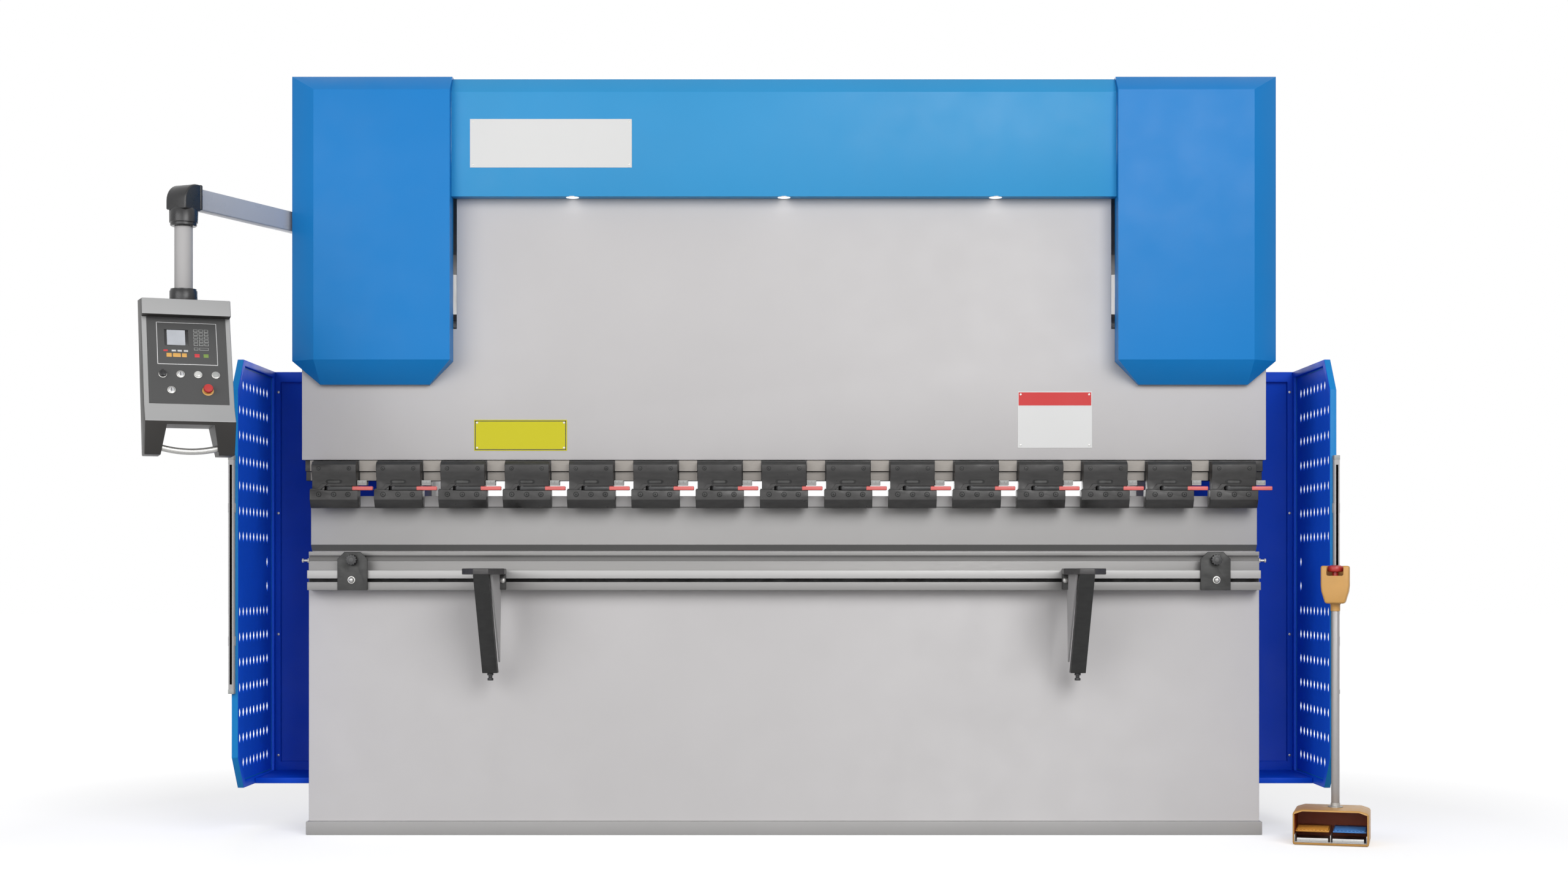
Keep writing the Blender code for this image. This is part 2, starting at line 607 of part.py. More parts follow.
def door_outline(inset):
    front, low = GUARD_FRONT + inset, GUARD_LOW + inset
    back, high = GUARD_BACK - inset, GUARD_LOW + GUARD_HEIGHT - inset
    deep, tall = GUARD_CUT
    return [(front, low + tall), (front + deep, low), (back, low), (back, high), (front + deep, high),
            (front, high - tall)]


def make_guard(label, side):
    outer = side * GUARD_X
    inner = side * (GUARD_X - GUARD_THICKNESS)
    skin = side * (GUARD_X - 0.012), side * (GUARD_X - 0.009)
    low, high = sorted((inner, outer))
    opening = door_outline(GUARD_FLANGE)
    cuts = [prism(opening, "X", *sorted((inner - side * 0.01, skin[0]))),
            prism(opening, "X", *sorted((skin[1], outer + side * 0.01)))]
    part(f"guard_door_{label}", DEEP_BLUE, prism(door_outline(0.0), "X", low, high), cut=[cuts],
         pivot=(outer, GUARD_BACK, GUARD_LOW))
    post_x = side * (GUARD_X - 0.004)
    width, depth = POST_SECTION
    post_back = GUARD_FRONT - GAP
    post = block((post_x - width / 2, post_back - depth, POST_LOW),
                 (post_x + width / 2, post_back, POST_LOW + POST_HEIGHT))
    part(f"light_post_{label}", ALUMINIUM, post, pivot=(post_x, post_back, POST_LOW))
    frame_side = side * (FRAME_X + FRAME_THICKNESS / 2 + GAP)
    near, far = sorted((frame_side, outer))
    front, back = GUARD_BACK + GAP, GUARD_BACK + GAP + 0.020
    panel = block((near, front, GUARD_LOW), (far, back, GUARD_LOW + GUARD_HEIGHT))
    window = sorted((frame_side + side * 0.03, side * (GUARD_X - 0.039)))
    recess = block((window[0], front - 0.01, GUARD_LOW + 0.05),
                   (window[1], back - 0.003, GUARD_LOW + GUARD_HEIGHT - 0.035))
    shelf_in, shelf_out = sorted((side * (BED_HALF + 0.012),
                                  side * (GUARD_X - GUARD_THICKNESS - 0.002)))
    shelf = block((shelf_in, 0.045, GUARD_LOW + 0.001), (shelf_out, front + 0.01, GUARD_LOW + 0.020))
    part(f"guard_panel_{label}", DEEP_BLUE, panel, add=[[shelf]], cut=[[recess]])


def make_pendant_arm():
    run = Vector((PENDANT_X - PIVOT_X, PENDANT_Y - PIVOT_Y))
    across = Vector((run.y, -run.x)).normalized() * ARM_TUBE[0] / 2
    ends = Vector((PIVOT_X, PIVOT_Y)), Vector((PENDANT_X, PENDANT_Y))
    outline = [tuple(ends[0] + across), tuple(ends[1] + across), tuple(ends[1] - across),
               tuple(ends[0] - across)]
    high = ARM_LOW + ARM_TUBE[1]
    hub = turned([(0.045, ARM_LOW), (0.045, high)], "Z", (PIVOT_X, PIVOT_Y), 20)
    elbow = turned([(0.041, ARM_LOW - 0.060), (0.041, ARM_LOW - 0.008), (0.046, ARM_LOW - 0.008),
                    (0.046, high - 0.015), (0.034, high + 0.008)], "Z", (PENDANT_X, PENDANT_Y), 20)
    bearing = turned([(0.0160, ARM_LOW - 0.01), (0.0160, high + 0.02)], "Z", (PIVOT_X, PIVOT_Y), 16)
    part("pendant_arm", ALUMINIUM, prism(outline, "Z", ARM_LOW, high), add=[[hub], [elbow]],
         cut=[[bearing]],
         pivot=(PIVOT_X, PIVOT_Y, ARM_LOW), roughness=0.35)


def panel_spot(spot):
    """Place on the leaning panel, in the pendant's frame, from a place across and down the panel."""
    across, down = spot
    return (across, PANEL_TOP[0] - down * math.sin(PANEL_LEAN),
            PANEL_TOP[1] - down * math.cos(PANEL_LEAN))


def panel_turned(profile, place, sides):
    """Turned form square to the panel, its profile measured inwards from the panel's face."""
    depths = [(radius, place[1] + depth) for radius, depth in profile]
    return leaned(turned(depths, "Y", (place[0], place[2]), sides), place[1:])


def make_pendant():
    holder = empty("pendant_axis", (PENDANT_X, PENDANT_Y, PENDANT_TOP - PENDANT_HEIGHT), PENDANT_TURN)
    half, top = PENDANT_WIDTH / 2, PENDANT_HEIGHT
    _, sill_y, sill_z = panel_spot((0, PANEL_LENGTH))
    lip_y, lip_z = sill_y - 0.049, sill_z - 0.048
    foot_y = lip_y + 0.0404
    side_view = [(foot_y, 0), (foot_y + 0.119, 0), (0.093, top), (-0.0955, top - 0.0145),
                 (-0.118, PANEL_TOP[1] + 0.003), PANEL_TOP, (sill_y, sill_z), (lip_y, lip_z)]
    drop_top = ARM_LOW - 0.060 - GAP - PENDANT_TOP + top
    drop = turned([(DROP_WIDTH / 2, top - 0.03), (DROP_WIDTH / 2, drop_top)],
                  "Z", (0, 0), 16)
    collar = turned([(0.0435, top - 0.020), (0.0435, top + 0.029)], "Z", (0, 0), 16)
    leg_foot, leg_top = half - 0.048, half - 0.064
    notch = prism([(-leg_foot, -0.01), (leg_foot, -0.01), (leg_top, lip_z - 0.011),
                   (-leg_top, lip_z - 0.011)],
                  "Y", -0.4, 0.2)
    bar = turned([(HANDLE_RADIUS, -half + 0.015), (HANDLE_RADIUS, half - 0.015)],
                 "X", (foot_y + HANDLE_RADIUS, 0.024), 10)
    stop_well = [(0.0085, -0.002), (0.0085, 0.0085 + BUTTON_TRAVEL)]
    wells = [panel_turned(stop_well, panel_spot(STOP_SPOT), 12),
             panel_turned([(0.0065, -0.002), (0.0065, 0.0105)], panel_spot(SELECTOR_SPOT), 12)]
    part("pendant_housing", CHARCOAL, prism(side_view, "X", -half, half),
         add=[[drop], [collar]], cut=[[notch], wells], late=[[bar]], holder=holder)
    return holder


def make_pendant_controls(holder):
    place = panel_spot(STOP_SPOT)
    head = panel_turned([(0.016, -0.0205), (0.019, -0.0105), (0.0080, -0.0105), (0.0080, 0.0075)],
                        place, 12)
    part("pendant_stop_button", RED, head, pivot=place, holder=holder)
    place = panel_spot(SELECTOR_SPOT)
    cap = panel_turned([(0.010, -0.0135), (0.012, -0.0035), (0.0060, -0.0035), (0.0060, 0.0075)],
                       place, 12)
    part("pendant_selector", CHARCOAL, cap, pivot=place, holder=holder)


def make_foot_switch():
    holder = empty("foot_switch_axis", (SWITCH_X, SWITCH_Y, 0), SWITCH_TURN)
    half, deep, high, wall = SWITCH_WIDTH / 2, SWITCH_DEPTH, SWITCH_HEIGHT, SWITCH_WALL
    crown, shoulder = 0.030, high - 0.009
    front_view = [(-half, 0), (half, 0), (half, shoulder), (half - crown, high), (-half + crown, high),
                  (-half, shoulder)]
    inside = [(-half + wall, wall + 0.002), (half - wall, wall + 0.002), (half - wall, shoulder - wall),
              (half - crown, high - wall), (-half + crown, high - wall), (-half + wall, shoulder - wall)]
    fence = block((-0.003, 0.002, 0.004), (0.003, deep - 0.01, 0.034))
    part("foot_switch_housing", ORANGE, prism(front_view, "Y", 0, deep),
         cut=[[prism(inside, "Y", -0.01, deep - wall)]], late=[[fence]], holder=holder, roughness=0.45)
    pivot_y, pivot_z = deep - wall - 0.016, 0.040
    for label, side in SIDES:
        near, far = sorted((side * 0.004, side * (half - wall - SLIDE_GAP)))
        side_view = [(0.030, 0.040), (0.030, 0.046), (pivot_y, 0.052)]
        side_view += [(pivot_y + 0.011 * math.cos(a), pivot_z + 0.011 * math.sin(a))
                      for a in (math.radians(d) for d in (60, 20, -20, -60, -90))]
        part(f"pedal_{label}", ORANGE if side < 0 else BLUE, prism(side_view, "X", near, far),
             pivot=(0, pivot_y, pivot_z), holder=holder)
    post_y = deep * 0.55
    width, depth, tall = STOP_CUP
    low, x = STOP_CUP_LOW, STOP_POST_SHIFT
    near, far = x - width / 2, x + width / 2
    shell = [(near + 0.012, low), (far - 0.012, low), (far, low + 0.060), (far, low + tall),
             (near, low + tall), (near, low + 0.060)]
    cup = prism(shell, "Y", post_y - depth / 2, post_y + depth / 2)
    tube = turned([(STOP_POST_RADIUS, high + GAP), (STOP_POST_RADIUS, low - 0.024),
                   (0.0155, low - 0.024), (0.0155, low + 0.01)], "Z", (x, post_y), 16)
    hollow = block((near + 0.008, post_y - depth / 2 + 0.008, low + 0.075),
                   (far - 0.008, post_y + depth / 2 - 0.008, low + tall + 0.01))
    notch = block((x - 0.027, post_y - depth / 2 - 0.01, low + 0.091), (x + 0.027, post_y, low + tall + 0.01))
    well = turned([(0.0105, low + 0.050), (0.0105, low + 0.080)], "Z", (x, post_y - 0.004), 12)
    part("foot_stop_post", ORANGE, cup, add=[[tube]], cut=[[hollow], [notch], [well]], holder=holder)
    head_top = low + tall + 0.002
    head = turned([(0.010, low + 0.062), (0.010, head_top - 0.022), (0.0245, head_top - 0.022),
                   (0.0265, head_top - 0.008), (0.020, head_top)], "Z", (x, post_y - 0.004), 16)
    part("foot_stop_button", RED, head, pivot=(x, post_y - 0.004, low + 0.075), holder=holder)


def make_back_gauge():
    top, low = GAUGE_RAIL_TOP, GAUGE_RAIL_TOP - 0.050
    start = BED_BACK + GAP
    end = start + GAUGE_RAIL_LENGTH
    rails = [block((side * GAUGE_RAIL_X - 0.030, start, low), (side * GAUGE_RAIL_X + 0.030, end, top))
             for _, side in SIDES]
    half = FRAME_X - FRAME_THICKNESS / 2 - GAP
    tie = block((-half, end - 0.040, low), (half, end, top))
    part("gauge_rails", CHARCOAL, tie, add=[rails])
    beam_top = top + 0.100
    beam = block((-half + 0.11, GAUGE_BEAM_Y, top + GAP), (half - 0.11, GAUGE_BEAM_Y + 0.080, beam_top))
    part("gauge_beam", GREY, beam,
         pivot=(0, GAUGE_BEAM_Y, top))
    for label, side in SIDES:
        x = side * FINGER_X
        outline = [(GAUGE_BEAM_Y + 0.075, beam_top + GAP), (GAUGE_BEAM_Y + 0.075, beam_top + 0.035),
                   (GAUGE_BEAM_Y - 0.060, beam_top + 0.055), (GAUGE_BEAM_Y - 0.200, beam_top + 0.055),
                   (GAUGE_BEAM_Y - 0.200, beam_top + 0.035), (GAUGE_BEAM_Y - 0.010, beam_top + GAP)]
        part(f"gauge_finger_{label}", STEEL, prism(outline, "X", x - 0.025, x + 0.025),
             pivot=(x, GAUGE_BEAM_Y, beam_top), metallic=0.9)


def make_cabinet():
    width, deep, high = CABINET
    near = FRAME_X + FRAME_THICKNESS / 2 + GAP
    far = near + width
    wall = CABINET_WALL
    low, back = CABINET_LOW, CABINET_Y + deep
    inside = block((near + wall, CABINET_Y + wall, low + wall), (far + 0.01, back - wall, low + high - wall))
    outside = block((near, CABINET_Y, low), (far, back, low + high))
    part("electric_cabinet", GREY, outside, cut=[[inside]])
    door = block((far + GAP, CABINET_Y, low), (far + GAP + DOOR_THICKNESS, back, low + high))
    part("cabinet_door", GREY, door,
         pivot=(far + GAP + DOOR_THICKNESS, back, low))


def main():
    make_bed()
    make_ram()
    make_torsion_bar()
    make_clamps()
    make_levers()
    make_beam_cover()
    make_tank_and_motor()
    make_front_rail()
    make_pendant_arm()
    make_pendant_controls(make_pendant())
    make_foot_switch()
    make_back_gauge()
    make_cabinet()
    for label, side in SIDES:
        make_side_frame(label, side)
        make_link(label, side)
        make_cylinder(label, side)
        make_cover(label, side)
        make_rail_end(label, side)
        make_support_arm(label, side)
        make_guard(label, side)


main()
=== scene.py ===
"""Looks of a hydraulic press brake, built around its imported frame.

Metres, +Z up, the operator stands on the -Y side. Every piece takes its place from the frame's
nodes, rides on one of its bodies, and is finished with a procedural material.
"""
import math

import bmesh
import bpy
from mathutils import Matrix, Vector


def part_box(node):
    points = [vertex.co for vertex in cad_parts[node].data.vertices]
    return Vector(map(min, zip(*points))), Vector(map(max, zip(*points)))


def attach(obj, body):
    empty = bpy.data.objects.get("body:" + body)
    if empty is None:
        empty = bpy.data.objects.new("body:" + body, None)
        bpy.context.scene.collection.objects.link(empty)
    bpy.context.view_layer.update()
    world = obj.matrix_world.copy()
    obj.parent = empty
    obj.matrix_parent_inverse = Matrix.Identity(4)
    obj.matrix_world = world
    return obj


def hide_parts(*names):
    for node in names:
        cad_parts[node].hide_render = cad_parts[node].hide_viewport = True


bl_info = {
    "name": "Press Brake Looks",
    "version": (1, 0, 0),
    "blender": (4, 5, 0),
    "location": "View3D > Sidebar > Press Brake",
    "description": "Finishes and fine parts of a press brake around its frame",
    "category": "Object",
}

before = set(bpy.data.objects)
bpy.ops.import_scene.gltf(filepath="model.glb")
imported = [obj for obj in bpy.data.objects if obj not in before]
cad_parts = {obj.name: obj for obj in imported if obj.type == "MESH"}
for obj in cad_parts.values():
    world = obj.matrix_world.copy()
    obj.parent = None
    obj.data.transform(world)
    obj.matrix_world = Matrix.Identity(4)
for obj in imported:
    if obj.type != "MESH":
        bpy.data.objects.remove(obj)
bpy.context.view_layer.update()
LEVER_NAMES = sorted(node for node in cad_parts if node.startswith("clamp_lever"))
SIDES = (("left", -1), ("right", 1))
FLOOR_Z = -0.0008
MIDDLE = Vector((0.0, 0.0, 1.2))
CAMERA_PLACE = (0.0, -7.372, 0.877)
QUARTER = math.pi / 2
LAY = {"X": (0, QUARTER, 0), "Y": (-QUARTER, 0, 0), "Z": (0, 0, 0)}

# Heights where the bed changes its finish (painted shade on the downward chamfer between BED_SHADE and
# BED_STEP, partly painted shade on the upper plate above BED_STEP), and the front of its upper plate
BED_STEP = 0.977
BED_SHADE = 0.953
BED_FOOT = 0.050
TABLE_FACE = -0.007

# Clamps: from a lever's left end to its clamp's middle, from there to where the bar shows, heights
# above the row's foot, and the length of a grip
LEVER_REACH = 0.0295
CLAMP_REACH = 0.0770
CAP_SCREWS_UP, JAW_SCREWS_UP, SLOT_UP, SCALE_UP = 0.132, 0.045, 0.0875, 0.076
GRIP_LENGTH = 0.069

# Guard doors: the corner cut at the front as depth and height, the sheet's margin and its holes
DOOR_CUT = (0.080, 0.107)
DOOR_MARGIN = 0.018
HOLE_COLUMNS, HOLE_ROWS = 9, 16
BARE_ROWS = (8, 9)

# Pendant: the elbow's middle from the arm's corner, the turn on the drop tube, the side view, and
# the panel's top edge, lean and stop button
ELBOW_IN = 0.046
PENDANT_WIDTH = 0.268
PENDANT_TURN = math.radians(20)
PENDANT_SIDE = [(-0.2327, 0.0003), (-0.1137, 0.0003), (0.0929, 0.5055), (-0.0954, 0.4910),
                (-0.1178, 0.4391), (-0.0821, 0.4358), (-0.2239, 0.1497), (-0.2729, 0.1017)]
PANEL_TOP = (-0.082, 0.436)
PANEL_LEAN = math.radians(26.4)
STOP_SPOT = (0.0563, 0.2643)

# Foot switch: its turn on the floor, half its width, its depth and its height
SWITCH_TURN = math.radians(-16.6)
SWITCH_HALF, SWITCH_DEPTH, SWITCH_HIGH = 0.1198, 0.200, 0.1148


# ---- sizes and colours that a user would change
def colour_property(label, words, default):
    return bpy.props.FloatVectorProperty(name=label, description=words, subtype="COLOR", size=3,
                                         min=0.0, max=1.0, default=default)


def length_property(label, words, default):
    return bpy.props.FloatProperty(name=label, description=words, unit="LENGTH", subtype="DISTANCE",
                                   min=0.0, default=default)


class PressBrakeColours(bpy.types.PropertyGroup):
    machine: colour_property("Machine grey", "Paint of the ram and the bed", (0.53, 0.515, 0.517))
    # Table grey is partly painted shade: darker than the ram grey to stand for the shade below the clamps
    table: colour_property("Table grey", "Paint of the bed's upper plate and foot", (0.40, 0.392, 0.388))
    cover: colour_property("Cover blue", "Paint of the end covers", (0.004, 0.200, 0.56))
    beam: colour_property("Beam blue", "Paint of the cover between them", (0.028, 0.285, 0.59))
    guard: colour_property("Guard blue", "Paint of the fixed side guards", (0.002, 0.064, 0.60))
    # Door blue is painted light: a brighter copy of the guard blue for the side-facing doors
    door: colour_property("Door blue", "Paint of the pierced doors", (0.010, 0.115, 0.86))
    trim: colour_property("Trim blue", "Paint of the guards' front flanges", (0.006, 0.22, 0.58))
    clamp: colour_property("Clamp grey", "Blackened steel of the clamps", (0.026, 0.025, 0.0245))
    grip: colour_property("Grip red", "Lever grips", (0.68, 0.13, 0.12))
    # Pendant grey is partly painted shade: it stands for the shade on the downward-facing legs
    pendant: colour_property("Pendant grey", "Paint of the pendant's sides and legs", (0.040, 0.038, 0.036))
    switch: colour_property("Switch orange", "Shell of the foot switch", (0.60, 0.32, 0.085))


class PressBrakeSizes(bpy.types.PropertyGroup):
    edge: length_property("Edge rounding", "Rounding of the painted plates' edges", 0.0022)
    screw_radius: length_property("Cap screw radius", "Head of the clamps' upper screws", 0.0068)
    jaw_screw_radius: length_property("Jaw screw radius", "Head of the clamps' lower screws", 0.0088)
    hole_width: length_property("Hole width", "Width of a diamond in the guard", 0.024)
    hole_height: length_property("Hole height", "Height of a diamond in the guard", 0.043)
    column_pitch: length_property("Column pitch", "Distance between columns of diamonds", 0.048)
    row_pitch: length_property("Row pitch", "Distance between rows of diamonds", 0.0842)
    lamp_radius: length_property("Lamp radius", "Radius of a work light", 0.025)


# ---- materials
def new_node(nodes, kind, values):
    """A shader node of a kind, with its sockets set."""
    node = nodes.new(kind)
    for socket, value in values.items():
        node.inputs[socket].default_value = value
    return node


class Recipe:
    """A short way to build one node tree around a Principled shader."""

    def __init__(self, name, colour, roughness, metallic=0.0):
        self.material = bpy.data.materials.new(name)
        self.material.use_nodes = True
        self.nodes = self.material.node_tree.nodes
        self.links = self.material.node_tree.links
        self.shader = self.nodes["Principled BSDF"]
        self.colour = colour
        self.set("Base Color", (*colour, 1.0))
        self.set("Roughness", roughness)
        self.set("Metallic", metallic)
        self.place = self.nodes.new("ShaderNodeTexCoord").outputs["Object"]

    def set(self, socket, value):
        self.shader.inputs[socket].default_value = value

    def noise(self, scale, detail=3.0, stretch=(1, 1, 1)):
        mapping = new_node(self.nodes, "ShaderNodeMapping", {"Scale": stretch})
        texture = new_node(self.nodes, "ShaderNodeTexNoise", {"Scale": scale, "Detail": detail})
        self.links.new(self.place, mapping.inputs["Vector"])
        self.links.new(mapping.outputs["Vector"], texture.inputs["Vector"])
        return texture.outputs["Fac"]

    def between(self, value, low, high):
        ramp = new_node(self.nodes, "ShaderNodeMapRange",
                        {"From Min": 0.3, "From Max": 0.7, "To Min": low, "To Max": high})
        self.links.new(value, ramp.inputs["Value"])
        return ramp.outputs["Result"]

    def tone(self, value, amount):
        """Colour a little darker and lighter where the value is low and high."""
        mix = self.nodes.new("ShaderNodeMix")
        mix.data_type = "RGBA"
        low = [channel * (1 - amount) for channel in self.colour]
        high = [min(channel * (1 + amount), 1.0) for channel in self.colour]
        mix.inputs["A"].default_value = (*low, 1.0)
        mix.inputs["B"].default_value = (*high, 1.0)
        self.links.new(self.between(value, 0.0, 1.0), mix.inputs["Factor"])
        self.links.new(mix.outputs["Result"], self.shader.inputs["Base Color"])

    def rough(self, value, low, high):
        self.links.new(self.between(value, low, high), self.shader.inputs["Roughness"])

    def bump(self, value, strength, distance):
        bump = new_node(self.nodes, "ShaderNodeBump", {"Strength": strength, "Distance": distance})
        self.links.new(value, bump.inputs["Height"])
        self.links.new(bump.outputs["Normal"], self.shader.inputs["Normal"])


def paint(name, colour, roughness=0.42, grain=420, depth=0.0003, tone=0.03, gloss=0.35):
    """Sprayed paint with a fine skin, slow changes of tone and slightly uneven gloss."""
    recipe = Recipe(name, colour, roughness)
    recipe.set("Specular IOR Level", gloss)
    recipe.tone(recipe.noise(1.7, 4.0), tone)
    recipe.rough(recipe.noise(9.0, 5.0), roughness - 0.05, roughness + 0.06)
    recipe.bump(recipe.noise(grain, 2.0), 0.25, depth)
    return recipe.material


def plastic(name, colour, roughness=0.45, grain=1500):
    """Moulded plastic with a fine spark-eroded grain."""
    recipe = Recipe(name, colour, roughness)
    recipe.tone(recipe.noise(14.0, 3.0), 0.05)
    recipe.rough(recipe.noise(40.0, 4.0), roughness - 0.06, roughness + 0.06)
    recipe.bump(recipe.noise(grain, 2.0), 0.3, 0.0002)
    return recipe.material


def drawn_metal(name, colour, roughness=0.32, stretch=(1, 40, 40), tone=0.08, metallic=1.0):
    """Metal drawn or ground along one axis: lines run where the stretch is small."""
    recipe = Recipe(name, colour, roughness, metallic)
    streak = recipe.noise(28.0, 6.0, stretch)
    recipe.tone(streak, tone)
    recipe.rough(streak, roughness - 0.08, roughness + 0.10)
    recipe.bump(streak, 0.12, 0.0002)
    return recipe.material


def black_steel(name, colour, roughness=0.36):
    """Blackened machined steel: fine tool marks, oily patches and worn tone."""
    recipe = Recipe(name, colour, roughness, 0.35)
    recipe.tone(recipe.noise(22.0, 6.0, (1, 3, 3)), 0.22)
    recipe.rough(recipe.noise(35.0, 5.0), roughness - 0.10, roughness + 0.14)
    recipe.bump(recipe.noise(300.0, 3.0, (0.15, 1, 1)), 0.2, 0.0002)
    return recipe.material


def glowing(name, colour, strength):
    recipe = Recipe(name, colour, 0.3)
    recipe.tone(recipe.noise(60.0, 2.0), 0.03)
    recipe.set("Emission Color", (*colour, 1.0))
    recipe.set("Emission Strength", strength)
    return recipe.material


def glassy(name, colour):
    """Coated screen: dark film under a clear gloss."""
    recipe = Recipe(name, colour, 0.12)
    recipe.tone(recipe.noise(30.0, 2.0), 0.04)
    recipe.set("Coat Weight", 0.6)
    recipe.set("Coat Roughness", 0.05)
    return recipe.material


FINISHES = {}


def make_finishes(colours):
    FINISHES.update({
        "machine": paint("machine_grey_paint", colours.machine, 0.42),
        # Partly painted shade below the clamps
        "table": paint("table_grey_paint_and_shade", colours.table, 0.42),
        # Partly painted light: lighter than the strip's own grey to make up for the clamps' shadow; the light
        # posts' windows use it too
        "strip": paint("table_strip_paint_and_light", (0.66, 0.645, 0.64), 0.42),
        # Painted shade: near-black grey for the bed's downward-facing chamfer
        "painted_underside_shade": paint("painted_shade_grey_paint", (0.10, 0.10, 0.098), 0.6),
        "cover": paint("cover_blue_paint", colours.cover, 0.38, gloss=0.22),
        "beam": paint("beam_blue_paint", colours.beam, 0.38, gloss=0.25),
        "guard": paint("guard_blue_paint", colours.guard, 0.45, gloss=0.12),
        # Painted light: brighter guard blue for the side-facing doors
        "door": paint("door_blue_paint_and_light", colours.door, 0.45, gloss=0.12),
        "trim": paint("trim_blue_paint", colours.trim, 0.40, gloss=0.2),
        "pendant": paint("pendant_dark_paint_and_shade", colours.pendant, 0.48, 700, 0.0004, 0.05, 0.2),
        "pendant_light": paint("pendant_light_paint", (0.385,) * 3, 0.42, 700, 0.0004, 0.05),
        "panel": paint("control_panel_paint", (0.082,) * 3, 0.5, 900, 0.0003, 0.05, 0.2),
        "plate_white": paint("plate_white", (0.68, 0.68, 0.675), 0.35, 200, 0.0001, 0.02),
        "plate_yellow": paint("plate_yellow", (0.60, 0.55, 0.012), 0.35, 200, 0.0001, 0.02, 0.2),
        "plate_red": paint("plate_red", (0.60, 0.045, 0.045), 0.35, 200, 0.0001, 0.02, 0.2),
        "plate_black": paint("plate_black", (0.03, 0.03, 0.03), 0.4, 200, 0.0001, 0.04),
        "clamp": black_steel("clamp_black_steel", colours.clamp),
        "beam_steel": drawn_metal("clamp_rail_steel", (0.30, 0.275, 0.25), 0.46, (1, 30, 30), 0.1, 0.15),
        "bracket": black_steel("bracket_black_steel", (0.036, 0.036, 0.035), 0.48),
        "support": black_steel("support_black_steel", (0.016, 0.016, 0.0155), 0.45),
        "shelf": black_steel("support_plate_steel", (0.050, 0.048, 0.048), 0.42),
        "screw": black_steel("screw_black_oxide", (0.024, 0.024, 0.025), 0.34),
        "socket": black_steel("socket_shadow", (0.005, 0.005, 0.005), 0.6),
        "rail": drawn_metal("rail_aluminium", (0.40, 0.395, 0.39), 0.44, (1, 60, 60), 0.05, 0.3),
        # Painted shade: darker copies of the rail aluminium for its heads and its recess
        "rail_shade_band": drawn_metal("rail_painted_shade_aluminium", (0.25, 0.245, 0.24), 0.46, (1, 60, 60), 0.05, 0.3),
        "rail_recess_shade": drawn_metal("rail_recess_painted_shade_aluminium", (0.115, 0.112, 0.11), 0.5, (1, 60, 60), 0.05,
                                   0.3),
        "satin": paint("tube_satin_paint", (0.45, 0.44, 0.44), 0.55, 500, 0.0002, 0.02, 0.2),
        "post": drawn_metal("post_aluminium", (0.35, 0.34, 0.34), 0.42, (40, 40, 1), 0.05, 0.35),
        "tube": paint("arm_tube_paint", (0.45, 0.475, 0.54), 0.30, 500, 0.0002, 0.03),
        "steel": drawn_metal("bright_steel", (0.42, 0.42, 0.43), 0.32, (1, 25, 25), 0.08, 0.7),
        "chrome": drawn_metal("ground_chrome", (0.60, 0.60, 0.61), 0.14, (30, 30, 1), 0.02),
        "zinc": drawn_metal("zinc_plate", (0.42, 0.415, 0.40), 0.34, (12, 12, 12), 0.10, 0.7),
        "black_plastic": plastic("black_plastic", (0.014, 0.014, 0.015), 0.30),
        "dark_plastic": plastic("dark_plastic", (0.070, 0.070, 0.070), 0.45),
        "grey_plastic": plastic("grey_plastic", (0.36, 0.37, 0.36), 0.45),
        "grip": plastic("grip_red_plastic", colours.grip, 0.35),
        "stop": plastic("stop_red_plastic", (0.46, 0.030, 0.028), 0.34),
        "key_red": plastic("key_red", (0.55, 0.04, 0.05), 0.4),
        "key_green": plastic("key_green", (0.18, 0.28, 0.06), 0.4),
        "key_orange": plastic("key_orange", (0.66, 0.36, 0.09), 0.4),
        "key_white": plastic("key_white", (0.62, 0.62, 0.62), 0.4),
        "switch": plastic("switch_orange_plastic", colours.switch, 0.40),
        # Painted shade: a darker copy of the switch orange for the shell's inside
        "switch_inside_shade": plastic("switch_inside_painted_shade", (0.36, 0.060, 0.007), 0.5),
        "pedal_blue": plastic("pedal_blue_plastic", (0.06, 0.22, 0.56), 0.4),
        "pedal_orange": plastic("pedal_orange_plastic", (0.66, 0.30, 0.04), 0.4),
        "rubber": plastic("black_rubber", (0.02, 0.02, 0.02), 0.7),
        "screen": glassy("screen_film", (0.46, 0.48, 0.52)),
        "lamp": glowing("work_light_lens", (0.92, 0.96, 1.0), 1.2),
        "lamp_white": glassy("signal_lamp_lens", (0.60, 0.60, 0.58)),
    })


# ---- modelling helpers
def deselect():
    bpy.ops.object.select_all(action="DESELECT")


def take(piece):
    deselect()
    piece.select_set(True)
    bpy.context.view_layer.objects.active = piece


def settle(piece):
    """Puts the piece's place into its mesh."""
    take(piece)
    bpy.ops.object.transform_apply(location=True, rotation=True, scale=True)


def apply_modifier(piece, kind, **values):
    step = piece.modifiers.new(kind.title(), kind)
    for key, value in values.items():
        setattr(step, key, value)
    take(piece)
    bpy.ops.object.modifier_apply(modifier=step.name)


def round_edges(piece, width, segments=2, limit=30):
    if width > 0:
        apply_modifier(piece, "BEVEL", width=width, segments=segments, limit_method="ANGLE",
                       angle_limit=math.radians(limit), harden_normals=False, use_clamp_overlap=True)


def shade(piece, angle=35):
    take(piece)
    bpy.ops.object.shade_smooth_by_angle(angle=math.radians(angle))


def finish(piece, name, body, finish_name, replaces=()):
    """Names the piece, gives it its material, and lets it ride on its body."""
    piece.name = name
    piece.data.name = name
    if not piece.data.materials:
        piece.data.materials.append(None)
    piece.data.materials[0] = FINISHES[finish_name]
    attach(piece, body)
    if replaces:
        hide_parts(*replaces)
    return piece


